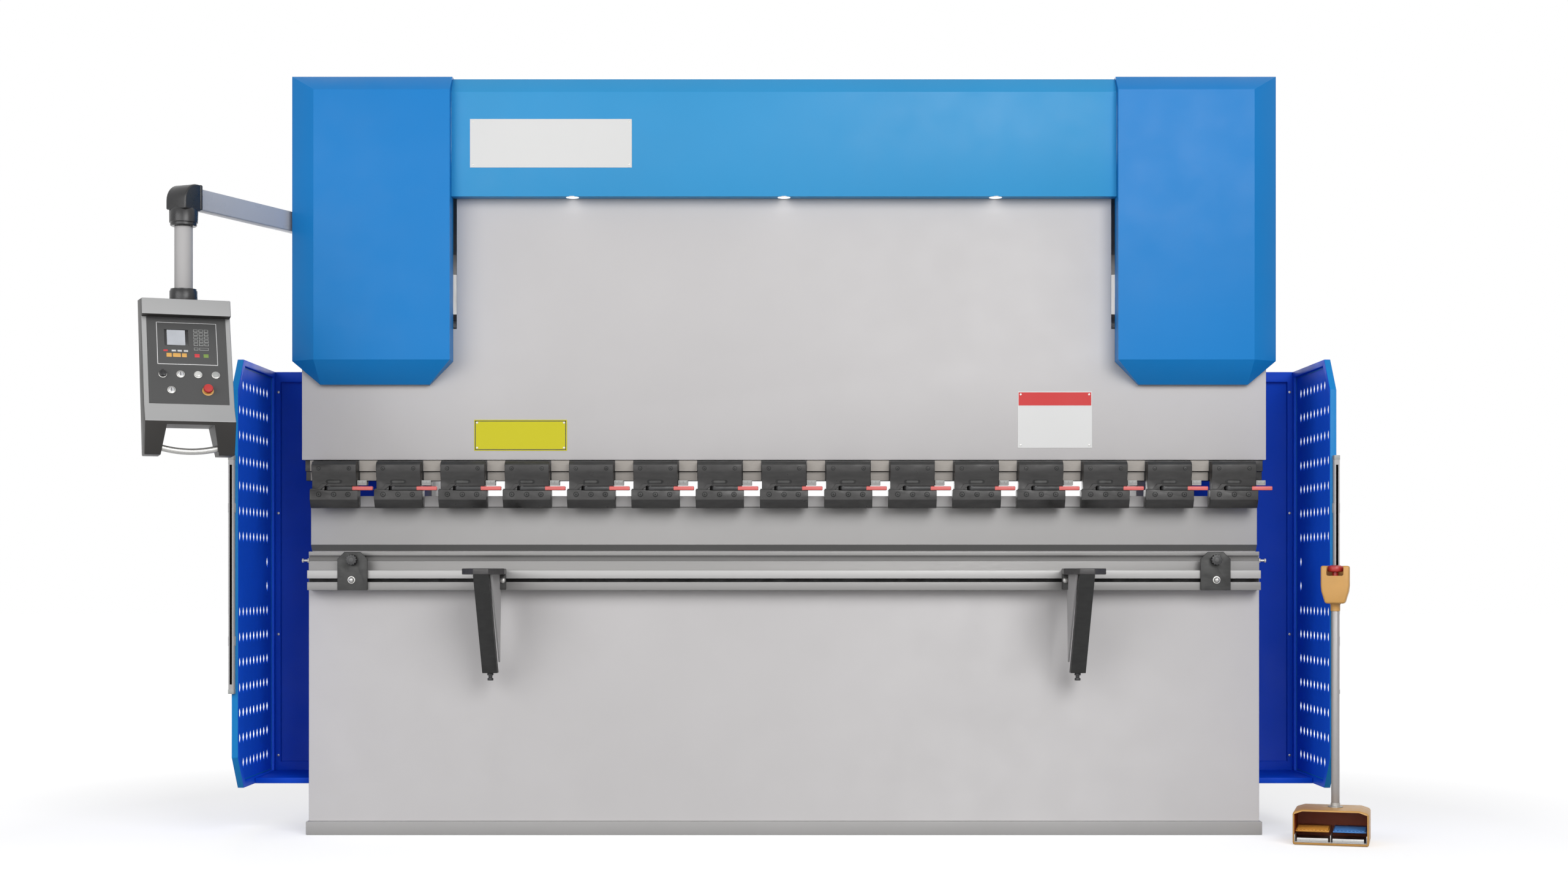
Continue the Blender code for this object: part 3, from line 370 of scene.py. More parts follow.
def paint_faces(piece, finish_name, test):
    """Gives a second finish to the faces whose middle and direction pass a test."""
    piece.data.materials.append(FINISHES[finish_name])
    slot = len(piece.data.materials) - 1
    for face in piece.data.polygons:
        if test(face.center, face.normal):
            face.material_index = slot
    return piece


def paint_band(piece, finish_name, low, high):
    """Gives a second finish to the faces that look forward between two heights."""
    return paint_faces(piece, finish_name, lambda at, way: low < at.z < high and way.y < -0.5)


def outward(piece):
    take(piece)
    bpy.ops.object.mode_set(mode="EDIT")
    bpy.ops.mesh.select_all(action="SELECT")
    bpy.ops.mesh.normals_make_consistent(inside=False)
    bpy.ops.object.mode_set(mode="OBJECT")


def box(low, high, width=0.001, segments=2):
    """A cube primitive sized between two corners, with its edges rounded."""
    low, high = Vector(low), Vector(high)
    deselect()
    bpy.ops.mesh.primitive_cube_add(size=1, location=(low + high) / 2)
    piece = bpy.context.active_object
    piece.scale = high - low
    settle(piece)
    round_edges(piece, width, segments)
    shade(piece)
    return piece


def disc(centre, radius, depth, axis="Y", width=0.0008, sides=32):
    """A round or many-sided head along an axis, with its edges rounded."""
    deselect()
    bpy.ops.mesh.primitive_cylinder_add(vertices=sides, radius=radius, depth=depth, location=centre,
                                        rotation=LAY[axis])
    piece = bpy.context.active_object
    settle(piece)
    round_edges(piece, width, 2, 50)
    shade(piece)
    return piece


def made(data):
    """An object for new mesh or curve data, linked and taken."""
    piece = bpy.data.objects.new(data.name, data)
    bpy.context.collection.objects.link(piece)
    take(piece)
    return piece


def drawn(points, edges, faces):
    """An object from plain points, edges and faces."""
    mesh = bpy.data.meshes.new("drawn")
    mesh.from_pydata(points, edges, faces)
    return made(mesh)


def pull(piece, shift):
    """Extrudes the whole mesh along a shift and turns its faces outward."""
    bpy.ops.object.mode_set(mode="EDIT")
    bpy.ops.mesh.select_all(action="SELECT")
    bpy.ops.mesh.extrude_region_move(TRANSFORM_OT_translate={"value": shift})
    bpy.ops.object.mode_set(mode="OBJECT")
    outward(piece)
    return piece


def sheet_from(outline, axis, start, end, width=0.001, segments=2):
    """An outline over the other two axes, filled and extruded along an axis, with rounded edges."""
    spots = {"X": lambda u, v: (start, u, v), "Y": lambda u, v: (u, start, v),
             "Z": lambda u, v: (u, v, start)}
    piece = drawn([spots[axis](u, v) for u, v in outline], [], [tuple(range(len(outline)))])
    shift = Vector((0, 0, 0))
    shift["XYZ".index(axis)] = end - start
    pull(piece, shift)
    round_edges(piece, width, segments)
    shade(piece)
    return piece


def mirrored(half, middle):
    """A whole outline from points (along, out from the middle) on one side of it."""
    return [(u, middle - v) for u, v in half] + [(u, middle + v) for u, v in reversed(half)]


def lathe(profile, centre, axis="Z", steps=32):
    """A profile of (radius, height) turned about an axis through a centre, closed at its ends."""
    points = [(0.0, profile[0][1])] + list(profile) + [(0.0, profile[-1][1])]
    piece = drawn([(r, 0, h) for r, h in points], [(i, i + 1) for i in range(len(points) - 1)], [])
    apply_modifier(piece, "SCREW", steps=steps, render_steps=steps, use_merge_vertices=True,
                   merge_threshold=0.00001)
    piece.rotation_euler = LAY[axis]
    piece.location = centre
    settle(piece)
    outward(piece)
    shade(piece, 40)
    return piece


def rod(points, radius, resolution, angle):
    """A round bar along points, with closed ends."""
    curve = bpy.data.curves.new("rod", "CURVE")
    curve.dimensions = "3D"
    curve.bevel_depth = radius
    curve.bevel_resolution = resolution
    curve.use_fill_caps = True
    spline = curve.splines.new("POLY")
    spline.points.add(len(points) - 1)
    for point, spot in zip(spline.points, points):
        point.co = (*spot, 1)
    made(curve)
    bpy.ops.object.convert(target="MESH")
    piece = bpy.context.active_object
    outward(piece)
    shade(piece, angle)
    return piece


def carve(piece, tool, angle=35):
    """Cuts a tool's shape out of a piece and does away with the tool."""
    apply_modifier(piece, "BOOLEAN", operation="DIFFERENCE", object=tool)
    bpy.data.objects.remove(tool, do_unlink=True)
    shade(piece, angle)
    return piece


def joined(pieces):
    """Joins like pieces into one object, as one group of separate solids."""
    deselect()
    for piece in pieces:
        piece.select_set(True)
    bpy.context.view_layer.objects.active = pieces[0]
    if len(pieces) > 1:
        bpy.ops.object.join()
    return pieces[0]


def turn(piece, holder):
    """Moves a piece from a turned group's own frame to where the group stands."""
    piece.data.transform(holder)
    return piece


def dressed(node, width, finish_name, body, segments=2, limit=30, shade_angle=35):
    """A copy of a frame node, merged, with its edges rounded, standing for the node."""
    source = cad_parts[node]
    piece = made(source.data.copy())
    piece.data.materials.clear()
    piece.data.transform(source.matrix_world)
    bpy.ops.object.mode_set(mode="EDIT")
    bpy.ops.mesh.select_all(action="SELECT")
    bpy.ops.mesh.remove_doubles(threshold=0.00002)
    bpy.ops.mesh.dissolve_limited(angle_limit=math.radians(0.5))
    bpy.ops.object.mode_set(mode="OBJECT")
    round_edges(piece, width, segments, limit)
    shade(piece, shade_angle)
    return finish(piece, node + "_shape", body, finish_name, (node,))


# ---- operators: one for each piece or group of like pieces
class Looks(bpy.types.Operator):
    """Shared ground for the operators below"""
    bl_options = {"REGISTER", "UNDO"}

    @property
    def sizes(self):
        return bpy.context.scene.press_brake_sizes


class PRESSBRAKE_OT_finishes(Looks):
    """Makes every material from the chosen colours"""
    bl_idname = "pressbrake.finishes"
    bl_label = "Make Finishes"

    def execute(self, context):
        make_finishes(context.scene.press_brake_colours)
        return {"FINISHED"}


class PRESSBRAKE_OT_plates(Looks):
    """Rounds the edges of the frame's plates, covers and castings and paints them"""
    bl_idname = "pressbrake.plates"
    bl_label = "Dress Plates and Covers"

    def execute(self, context):
        edge = self.sizes.edge
        bed = dressed("worktable", edge, "machine", "frame")
        # The upper plate and the foot get the table grey, which on the upper plate is partly painted shade
        paint_faces(bed, "table", lambda at, way: at.z > BED_STEP or at.z < BED_FOOT)
        # Painted shade on the downward-facing chamfer below the upper plate
        paint_faces(bed, "painted_underside_shade", lambda at, way: BED_SHADE < at.z < BED_STEP and way.z < -0.3)
        self.table_strip()
        dressed("ram", edge, "machine", "ram")
        dressed("oil_tank", 0.004, "machine", "frame")
        dressed("gauge_rails", 0.0015, "support", "frame")
        dressed("gauge_beam", 0.003, "machine", "gauge")
        self.rail_bands(dressed("front_rail", 0.0008, "rail", "frame"))
        dressed("beam_cover", 0.0008, "beam", "frame")
        dressed("torsion_bar", 0.002, "steel", "torsion", shade_angle=30)
        dressed("electric_cabinet", 0.0012, "machine", "frame")
        dressed("cabinet_door", 0.002, "machine", "cabinet_door")
        for label, _ in SIDES:
            dressed(f"side_frame_{label}", edge, "machine", "frame")
            dressed(f"cylinder_{label}", 0.003, "support", "frame", shade_angle=30)
            dressed(f"piston_rod_{label}", 0.001, "chrome", "ram", shade_angle=30)
            dressed(f"link_{label}", 0.0015, "steel", "ram")
            dressed(f"cylinder_cover_{label}", 0.0008, "cover", "frame", limit=20, shade_angle=18)
            dressed(f"gauge_finger_{label}", 0.002, "steel", f"finger_{label}")
            dressed(f"guard_panel_{label}", 0.0012, "guard", "frame")
        return {"FINISHED"}

    def rail_bands(self, rail):
        """Painted shade on the rail's front, by height above its foot: near-black in the slot, darker grey on
        the heads, darker still in the recess.
        """
        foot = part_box("front_rail")[0].z
        for finish_name, start, end in (("socket", 0.027, 0.039), ("rail_shade_band", 0.0, 0.027),
                                        ("rail_shade_band", 0.066, 0.097), ("rail_recess_shade", 0.097, 0.1155),
                                        ("rail_shade_band", 0.1155, 0.130)):
            paint_band(rail, finish_name, foot + start, foot + end)

    def table_strip(self):
        """A ground strip along the table's top edge, lightened as painted light against the clamps' shadow,
        with a seam under it.
        """
        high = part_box("worktable")[1]
        x, seam = high.x - 0.0080, high.z - 0.0375
        back = TABLE_FACE + 0.002
        strip = box((-x, TABLE_FACE - 0.0016, seam + 0.001), (x, back, high.z - 0.0004), 0.0006, 2)
        finish(strip, "table_strip", "frame", "strip")
        line = box((-x, TABLE_FACE - 0.0006, seam - 0.0010), (x, back, seam + 0.0012), 0, 1)
        finish(line, "table_seam", "frame", "socket")


class PRESSBRAKE_OT_clamps(Looks):
    """Dresses the clamp row, with a painted highlight on its upward-facing chamfers, and adds its bar,
    screws, scales, slots of painted shade and wedges
    """
    bl_idname = "pressbrake.clamps"
    bl_label = "Dress Clamps"

    def execute(self, context):
        centres = [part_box(node)[0].x + LEVER_REACH for node in LEVER_NAMES]
        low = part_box("tool_clamps")[0]
        row = dressed("tool_clamps", 0.0012, "clamp", "ram")
        brow = low.z + 0.14
        # Painted highlight: the upward-facing chamfers above the brow get the lighter bracket steel
        paint_faces(row, "bracket", lambda at, way: way.y < -0.3 and way.z > 0.3 and at.z > brow)
        self.bar(centres)
        self.screws(centres, low)
        self.scales(centres, low)
        slots, beads, wedges = [], [], []
        for x in centres:
            # Each slot is a dark sheet of painted shade in the clamp's face, with a bead in it
            slots.append(self.oblong(x - 0.0010, low.z + SLOT_UP, 0.0275, 0.0062, low.y + 0.0075))
            beads.append(self.oblong(x - 0.0010, low.z + SLOT_UP, 0.0200, 0.0038, low.y + 0.0070))
            side_view = ((-0.0790, 0.0575), (-0.0500, 0.0575), (-0.0215, 0.0800), (-0.0420, 0.0800),
                         (-0.0560, 0.0640), (-0.0790, 0.0640))
            outline = [(x + across, low.z + up) for across, up in side_view]
            wedges.append(sheet_from(outline, "Y", low.y + 0.0040, low.y + 0.0110, 0.0004, 1))
        finish(joined(slots), "clamp_adjusting_slot_shades", "ram", "socket")
        finish(joined(beads), "clamp_adjusting_beads", "ram", "bracket")
        finish(joined(wedges), "clamp_wedges", "ram", "clamp")
        return {"FINISHED"}

    def bar(self, centres):
        """The bar that shows between the clamps, in two bands, the lower one set back."""
        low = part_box("tool_clamps")[0]
        ram_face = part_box("ram")[0].y
        gaps = [(low.x + 0.0160, centres[0] - CLAMP_REACH)]
        gaps += [(start + CLAMP_REACH, end - CLAMP_REACH) for start, end in zip(centres, centres[1:])]
        bands = []
        for start, end in gaps:
            for foot, top, back in ((0.0935, 0.1230, 0.020), (0.1250, 0.1610, 0.007)):
                face = ram_face + back
                bands.append(box((start, face - 0.0008, low.z + foot), (end, face + 0.002, low.z + top),
                                 0.0004, 1))
        finish(joined(bands), "clamp_bar_bands", "ram", "beam_steel")

    def oblong(self, x, z, half, radius, front):
        """A thin slot shape with round ends, lying in the clamp's face."""
        outline = []
        for side in (1, -1):
            for step in range(8):
                angle = math.pi * (step / 7.5 - side / 2)
                outline.append((x + side * (half - radius) + radius * math.cos(angle),
                                z + radius * math.sin(angle)))
        return sheet_from(outline, "Y", front, front + 0.0015, 0.0, 1)

    def screws(self, centres, low):
        """Two screws in each cap and three in each jaw: a bore of painted shade, a head and its socket, also
        painted shade.
        """
        sizes = self.sizes
        spots = []
        for x in centres:
            spots += [(x + shift, low.z + CAP_SCREWS_UP, sizes.screw_radius) for shift in (-0.051, 0.051)]
            spots += [(x + shift, low.z + JAW_SCREWS_UP, sizes.jaw_screw_radius)
                      for shift in (-0.050, 0.0, 0.048)]
        for name, finish_name, share, out, depth, width, sides in (
                # Bores and sockets are painted shade in the near-black socket finish
                ("clamp_screw_bore_shades", "socket", 1.0, 0.0002, 0.0020, 0.0003, 24),
                ("clamp_screws", "bracket", 0.72, 0.0006, 0.0022, 0.0004, 24),
                ("clamp_screw_socket_shades", "socket", 0.36, 0.0009, 0.0022, 0, 6)):
            heads = [disc((across, low.y - out, up), radius * share, depth, "Y", width, sides)
                     for across, up, radius in spots]
            finish(joined(heads), name, "ram", finish_name)

    def scales(self, centres, low):
        """A graduated block beside each clamp, with seven marks."""
        plates, ticks = [], []
        foot = low.z + SCALE_UP
        for x in centres:
            plates.append(box((x + 0.0765, -0.0794, foot), (x + 0.1075, -0.0780, foot + 0.0165), 0.0003, 1))
            for mark in range(7):
                start = x + 0.080 + 0.004 * mark
                top = foot + 0.002 + (0.011 if mark % 3 == 0 else 0.007)
                ticks.append(box((start, -0.0799, foot + 0.002), (start + 0.0007, -0.0792, top), 0, 1))
        finish(joined(plates), "clamp_scales", "ram", "grey_plastic")
        finish(joined(ticks), "clamp_scale_marks", "ram", "plate_black")


class PRESSBRAKE_OT_levers(Looks):
    """Makes each clamp's lever: a steel bar with a pivot screw and a red grip"""
    bl_idname = "pressbrake.levers"
    bl_label = "Make Levers"

    def execute(self, context):
        for number, node in enumerate(LEVER_NAMES, start=1):
            low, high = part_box(node)
            body = f"lever_{number:02d}"
            middle = (low.y + high.y) / 2
            grip_start = high.x - GRIP_LENGTH
            pivot = low.x + 0.0125
            half = [(pivot - 0.011, 0.004), (pivot - 0.004, 0.011), (pivot + 0.006, 0.0115),
                    (pivot + 0.030, 0.0070), (grip_start + 0.008, 0.0062)]
            bar = sheet_from(mirrored(half, middle), "Z", low.z + 0.0005, high.z - 0.0005, 0.0012)
            finish(bar, f"lever_{number:02d}_bar", body, "screw", (node,))
            grip = box((grip_start, middle - 0.0080, low.z), (high.x, middle + 0.0080, high.z), 0.0028, 4)
            finish(grip, f"lever_{number:02d}_grip", body, "grip")
            head = disc((pivot, middle, high.z - 0.0004), 0.0055, 0.0007, "Z", 0.0002, 20)
            finish(head, f"lever_{number:02d}_pivot", body, "steel")
        return {"FINISHED"}


class PRESSBRAKE_OT_guards(Looks):
    """Pierces the guard doors, frames them and adds hinges, posts and the panels' screws"""
    bl_idname = "pressbrake.guards"
    bl_label = "Make Guards"

    def execute(self, context):
        for label, side in SIDES:
            self.door(label, side)
            self.post(label)
            self.panel_trim(label, side)
        return {"FINISHED"}

    def outline(self, low, high, inset):
        """The door seen from the side, set in from its edges."""
        front, back = low.y + inset, high.y - inset
        bottom, top = low.z + inset, high.z - inset
        deep, tall = DOOR_CUT
        return [(front, bottom + tall), (front + deep, bottom), (back, bottom), (back, top),
                (front + deep, top), (front, top - tall)]

    def door(self, label, side):
        """A rim around the pierced sheet, a thin line of trim, and three hinge knuckles."""
        low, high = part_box(f"guard_door_{label}")
        body = f"guard_{label}"
        inner, outer = (high.x, low.x) if side < 0 else (low.x, high.x)
        skin = outer - side * 0.0105
        rim = self.ring(self.outline(low, high, 0.0), self.outline(low, high, 0.0205), inner, outer)
        round_edges(rim, 0.0015, 2)
        shade(rim)
        # The door blue on rim and sheet is painted light for these side-facing faces
        finish(rim, f"guard_{label}_rim", body, "door", (f"guard_door_{label}",))
        paint_faces(rim, "trim", lambda at, way: way.y < -0.3 and at.y < low.y + 0.060)
        pierced = self.pierced(skin, low, high, self.sizes)
        finish(pierced, f"guard_{label}_pierced_sheet", body, "door")
        near = self.outline(low, high, 0.0235)
        trim = self.ring(near, self.outline(low, high, 0.0265), skin - side * 0.0022, skin - side * 0.0014)
        shade(trim)
        finish(trim, f"guard_{label}_trim_line", body, "trim")
        knuckles = []
        for share in (0.12, 0.5, 0.88):
            z = low.z + share * (high.z - low.z)
            knuckles.append(disc((outer - side * 0.006, high.y - 0.008, z), 0.0055, 0.09, "Z", 0.0006, 20))
        finish(joined(knuckles), f"guard_{label}_hinges", body, "zinc")

    def ring(self, outside, inside, start, end):
        """A flat frame between two like outlines, with thickness along X."""
        count = len(outside)
        faces = [(i, (i + 1) % count, count + (i + 1) % count, count + i) for i in range(count)]
        return pull(drawn([(start, u, v) for u, v in outside + inside], [], faces), (end - start, 0, 0))

    def lines(self, low, high, first, pitch, count):
        """Where one cell of sheet ends and the next begins, from margin to margin."""
        between = [first + pitch * (i - 0.5) for i in range(count + 1)]
        return [low + DOOR_MARGIN] + between + [high - DOOR_MARGIN]

    def diamond(self, bm, corner, sizes):
        """One cell of sheet, as eight triangles around an open diamond."""
        middle = (corner[0].co + corner[2].co) / 2
        wide, tall = sizes.hole_width / 2, sizes.hole_height / 2
        tips = [bm.verts.new(middle + Vector((0, u, v)))
                for u, v in ((0, -tall), (wide, 0), (0, tall), (-wide, 0))]
        for k in range(4):
            after = (k + 1) % 4
            bm.faces.new((corner[k], corner[after], tips[k]))
            bm.faces.new((corner[after], tips[after], tips[k]))

    def pierced(self, plane, low, high, sizes):
        """Cells of sheet, each with a diamond left open, trimmed to the door and thickened."""
        ys = self.lines(low.y, high.y, low.y + 0.065, sizes.column_pitch, HOLE_COLUMNS)
        zs = self.lines(low.z, high.z, low.z + 0.083, sizes.row_pitch, HOLE_ROWS)
        bm = bmesh.new()
        for i, (near, far) in enumerate(zip(ys, ys[1:])):
            for j, (foot, top) in enumerate(zip(zs, zs[1:])):
                corner = [bm.verts.new((plane, y, z))
                          for y, z in ((near, foot), (far, foot), (far, top), (near, top))]
                bare = j in BARE_ROWS and i < HOLE_COLUMNS
                if bare or not (0 < i <= HOLE_COLUMNS and 0 < j <= HOLE_ROWS):
                    bm.faces.new(corner)
                else:
                    self.diamond(bm, corner, sizes)
        bmesh.ops.remove_doubles(bm, verts=bm.verts, dist=0.00005)
        deep, tall = DOOR_CUT
        for sign, level in ((-1, low.z), (1, high.z)):
            normal = Vector((0, -tall, sign * deep)).normalized()
            point = Vector((plane, low.y + DOOR_MARGIN, level - sign * (tall + DOOR_MARGIN * 0.25)))
            bmesh.ops.bisect_plane(bm, geom=bm.verts[:] + bm.edges[:] + bm.faces[:], plane_co=point,
                                   plane_no=normal, clear_outer=True)
        mesh = bpy.data.meshes.new("pierced")
        bm.to_mesh(mesh)
        bm.free()
        piece = made(mesh)
        outward(piece)
        apply_modifier(piece, "SOLIDIFY", thickness=0.002, offset=0.0)
        return piece

    def post(self, label):
        """The light curtain's post: its profile, a pale window, two end caps and two brackets."""
        low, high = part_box(f"light_post_{label}")
        name, body = f"light_post_{label}", f"guard_{label}"
        finish(box(low, high, 0.0030, 3), f"{name}_shape", body, "satin", (name,))
        window = box((low.x + 0.005, low.y, low.z + 0.03), (high.x - 0.005, low.y + 0.0012, high.z - 0.03),
                     0.0003, 1)
        finish(window, f"{name}_window", body, "strip")
        caps = [box((low.x - 0.0005, low.y - 0.0005, foot), (high.x + 0.0005, high.y, foot + 0.015), 0.001, 2)
                for foot in (low.z - 0.001, high.z - 0.014)]
        finish(joined(caps), f"{name}_caps", body, "grey_plastic")
        brackets = []
        for share in (0.22, 0.78):
            z = low.z + share * (high.z - low.z)
            brackets.append(box((low.x - 0.0012, low.y + 0.004, z - 0.016),
                                (high.x + 0.0012, high.y + 0.030, z + 0.016), 0.001, 2))
        finish(joined(brackets), f"{name}_brackets", body, "satin")

    def panel_trim(self, label, side):
        """Screws down the fixed panel's outer edge."""
        low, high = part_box(f"guard_panel_{label}")
        outer = high.x if side > 0 else low.x
        front = high.y - 0.020
        screws = []
        for share in (0.05, 0.35, 0.65, 0.95):
            z = low.z + share * (high.z - low.z)
            screws.append(disc((outer - side * 0.031, front - 0.0010, z), 0.0045, 0.002, "Y", 0.0005, 20))
        finish(joined(screws), f"guard_panel_{label}_screws", "frame", "zinc")


class PRESSBRAKE_OT_rail(Looks):
    """Adds the front rail's brackets, knobs, nuts, end bolts and the two support arms"""
    bl_idname = "pressbrake.rail"
    bl_label = "Make Rail Fittings"

    def execute(self, context):
        rail_low, rail_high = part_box("front_rail")
        bolts = []
        for label, side in SIDES:
            dressed(f"rail_bracket_{label}", 0.0015, "bracket", "frame")
            low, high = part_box(f"rail_bracket_{label}")
            middle = (low.x + high.x) / 2
            dome = [(0.0125, 0.0), (0.0125, -0.005), (0.0095, -0.0055), (0.0093, -0.009), (0.0075, -0.013),
                    (0.004, -0.0155)]
            nut = lathe(dome, (middle + side * 0.002, low.y, low.z + 0.034), "Y", 24)
            finish(nut, f"rail_{label}_dome_nut", "frame", "zinc")
            self.knob(label)
            end = rail_high.x if side > 0 else rail_low.x
            y, z = rail_low.y + 0.043, rail_high.z - 0.030
            for out, radius, length, width, sides in ((0.013, 0.0042, 0.026, 0.0006, 16),
                                                      (0.004, 0.0085, 0.006, 0.0008, 6),
                                                      (0.023, 0.0075, 0.006, 0.0008, 6)):
                bolts.append(disc((end + side * out, y, z), radius, length, "X", width, sides))
            self.support(label, side)
        finish(joined(bolts), "rail_end_bolts", "frame", "zinc")
        return {"FINISHED"}

    def knob(self, label):
        """A knob with twelve lobes, its stem and the cap on its face."""
        name, body = f"star_knob_{label}", f"knob_{label}"
        low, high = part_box(name)
        x, z = (low.x + high.x) / 2, (low.z + high.z) / 2
        radius = (high.x - low.x) / 2 + 0.0012
        points = []
        for step in range(96):
            angle = 2 * math.pi * step / 96
            reach = radius * (0.925 + 0.075 * math.cos(12 * angle))
            points.append((x + reach * math.cos(angle), z + reach * math.sin(angle)))
        knob = sheet_from(points, "Y", low.y, low.y + 0.0215, 0.0022, 3)
        finish(knob, f"{name}_shape", body, "black_plastic", (name,))
        start = low.y + 0.02
        stem = disc((x, (start + high.y) / 2, z), 0.0058, high.y - start, "Y", 0.0004, 20)
        finish(stem, f"{name}_stem", body, "zinc")
        cap = disc((x, low.y + 0.0002, z), 0.0075, 0.0012, "Y", 0.0005, 24)
        finish(cap, f"{name}_cap", body, "dark_plastic")

    def support(self, label, side):
        """A tapered plate on a slanted channel, with a rib, a shoe on the rail and a stand-off foot."""
        node, body = f"support_arm_{label}", f"support_{label}"
        low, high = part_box(node)
        middle, half = (low.x + high.x) / 2, (high.x - low.x) / 2
        top, back, tip, root = high.z, high.y, low.y, half - 0.020
        outline = [(middle - root, back), (middle + root, back), (middle + half, tip + 0.060),
                   (middle + half - 0.045, tip), (middle - half + 0.045, tip), (middle - half, tip + 0.060)]
        plate = sheet_from(outline, "Z", top - 0.020, top, 0.0030, 3)
        finish(plate, f"{node}_plate", body, "shelf", (node,))
        foot = low.z + 0.025
        channel = [(tip + 0.002, top - 0.020), (tip + 0.040, top - 0.020), (back - 0.012, foot),
                   (back - 0.050, foot)]
        web = sheet_from(channel, "X", middle - 0.0250, middle + 0.0250, 0.0015, 2)
        hollow = [(tip + 0.013, top - 0.018), (tip + 0.048, top - 0.018), (back - 0.006, foot - 0.01),
                  (back - 0.041, foot - 0.01)]
        carve(web, sheet_from(hollow, "X", middle - 0.0205, middle + 0.0205, 0.0, 1))
        finish(web, f"{node}_channel", body, "support")
        rib_x = middle - side * 0.0285
        rib = [(tip + 0.035, top - 0.018), (back - 0.005, top - 0.018), (back - 0.005, top - 0.122),
               (back - 0.022, foot + 0.035)]
        finish(sheet_from(rib, "X", rib_x - 0.003, rib_x + 0.003, 0.0008, 1), f"{node}_rib", body, "satin")
        shoe = box((middle - root, back - 0.030, top - 0.070), (middle + root, back, top - 0.021), 0.002, 2)
        finish(shoe, f"{node}_shoe", body, "bracket")
        button = [(0.0100, 0.0), (0.0098, -0.0040), (0.0080, -0.0075), (0.0045, -0.0090)]
        head = lathe(button, (middle - side * 0.040, back - 0.030, top - 0.039), "Y", 24)
        finish(head, f"{node}_bolt", body, "zinc")
        stack = [disc((middle, back - 0.031, z), radius, tall, "Z", width, sides)
                 for z, radius, tall, width, sides in ((low.z + 0.016, 0.0065, 0.030, 0.0005, 20),
                                                       (foot - 0.004, 0.0115, 0.008, 0.0008, 6),
                                                       (low.z + 0.004, 0.0100, 0.008, 0.0010, 24))]
        finish(joined(stack), f"{node}_foot", body, "screw")


class PRESSBRAKE_OT_name_plates(Looks):
    """Adds bare plates with rivets on the beam cover and the ram, and the work lights"""
    bl_idname = "pressbrake.name_plates"
    bl_label = "Make Plates and Lights"

    def plate(self, name, body, finish_name, centre, width, height, face):
        """A thin plate on a face, with a rivet in each corner. Gives back its two corners."""
        low = (centre[0] - width / 2, face - 0.0014, centre[1] - height / 2)
        high = (centre[0] + width / 2, face - 0.0002, centre[1] + height / 2)
        finish(box(low, high, 0.0004, 1), name, body, finish_name)
        rivets = [disc((x, face - 0.0018, z), 0.0035, 0.0012, "Y", 0.0004, 16)
                  for x in (low[0] + 0.010, high[0] - 0.010) for z in (low[2] + 0.010, high[2] - 0.010)]
        finish(joined(rivets), name + "_rivets", body, "zinc")
        return low, high

    def print_on(self, front, left, right, foot, top):
        """A flat field of colour, lying on the front of a plate."""
        return box((left, front - 0.0004, foot), (right, front + 0.0002, top), 0, 1)

    def execute(self, context):
        beam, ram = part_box("beam_cover")[0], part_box("ram")[0]
        inset, line, band_height = 0.003, 0.0025, 0.044
        self.plate("beam_cover_plate", "frame", "plate_white", (beam.x + 0.333, beam.z + 0.177), 0.540, 0.162,
                   beam.y)
        (left, front, foot), (right, _, top) = self.plate("ram_plate_left", "ram", "plate_yellow",
                                                          (-0.885, ram.z + 0.083), 0.312, 0.104, ram.y)
        left, right, foot, top = left + inset, right - inset, foot + inset, top - inset
        border = [self.print_on(front, left, right, z, z + line) for z in (foot, top - line)]
        border += [self.print_on(front, x, x + line, foot, top) for x in (left, right - line)]
        finish(joined(border), "ram_plate_left_border", "ram", "plate_black")
        (left, front, _), (right, _, top) = self.plate("ram_plate_right", "ram", "plate_white",
                                                       (0.910, ram.z + 0.135), 0.250, 0.190, ram.y)
        band = self.print_on(front, left + inset, right - inset, top - inset - band_height, top - inset)
        finish(band, "ram_plate_right_band", "ram", "plate_red")
        self.work_lights(beam)
        return {"FINISHED"}

    def work_lights(self, beam):
        """Three round lights under the beam cover, each a lens in a thin ring."""
        radius, y = self.sizes.lamp_radius, beam.y + 0.0235
        for number, x in enumerate((-0.708, 0.0, 0.708), start=1):
            lens = disc((x, y, beam.z + 0.0008), radius * 0.86, 0.0022, "Z", 0.0006, 40)
            finish(lens, f"work_light_{number}_lens", "frame", "lamp")
            bezel = lathe([(radius * 0.88, 0.0), (radius * 0.90, -0.0018), (radius, -0.0010), (radius, 0.0)],
                          (x, y, beam.z + 0.0014), "Z", 40)
            finish(bezel, f"work_light_{number}_bezel", "frame", "zinc")


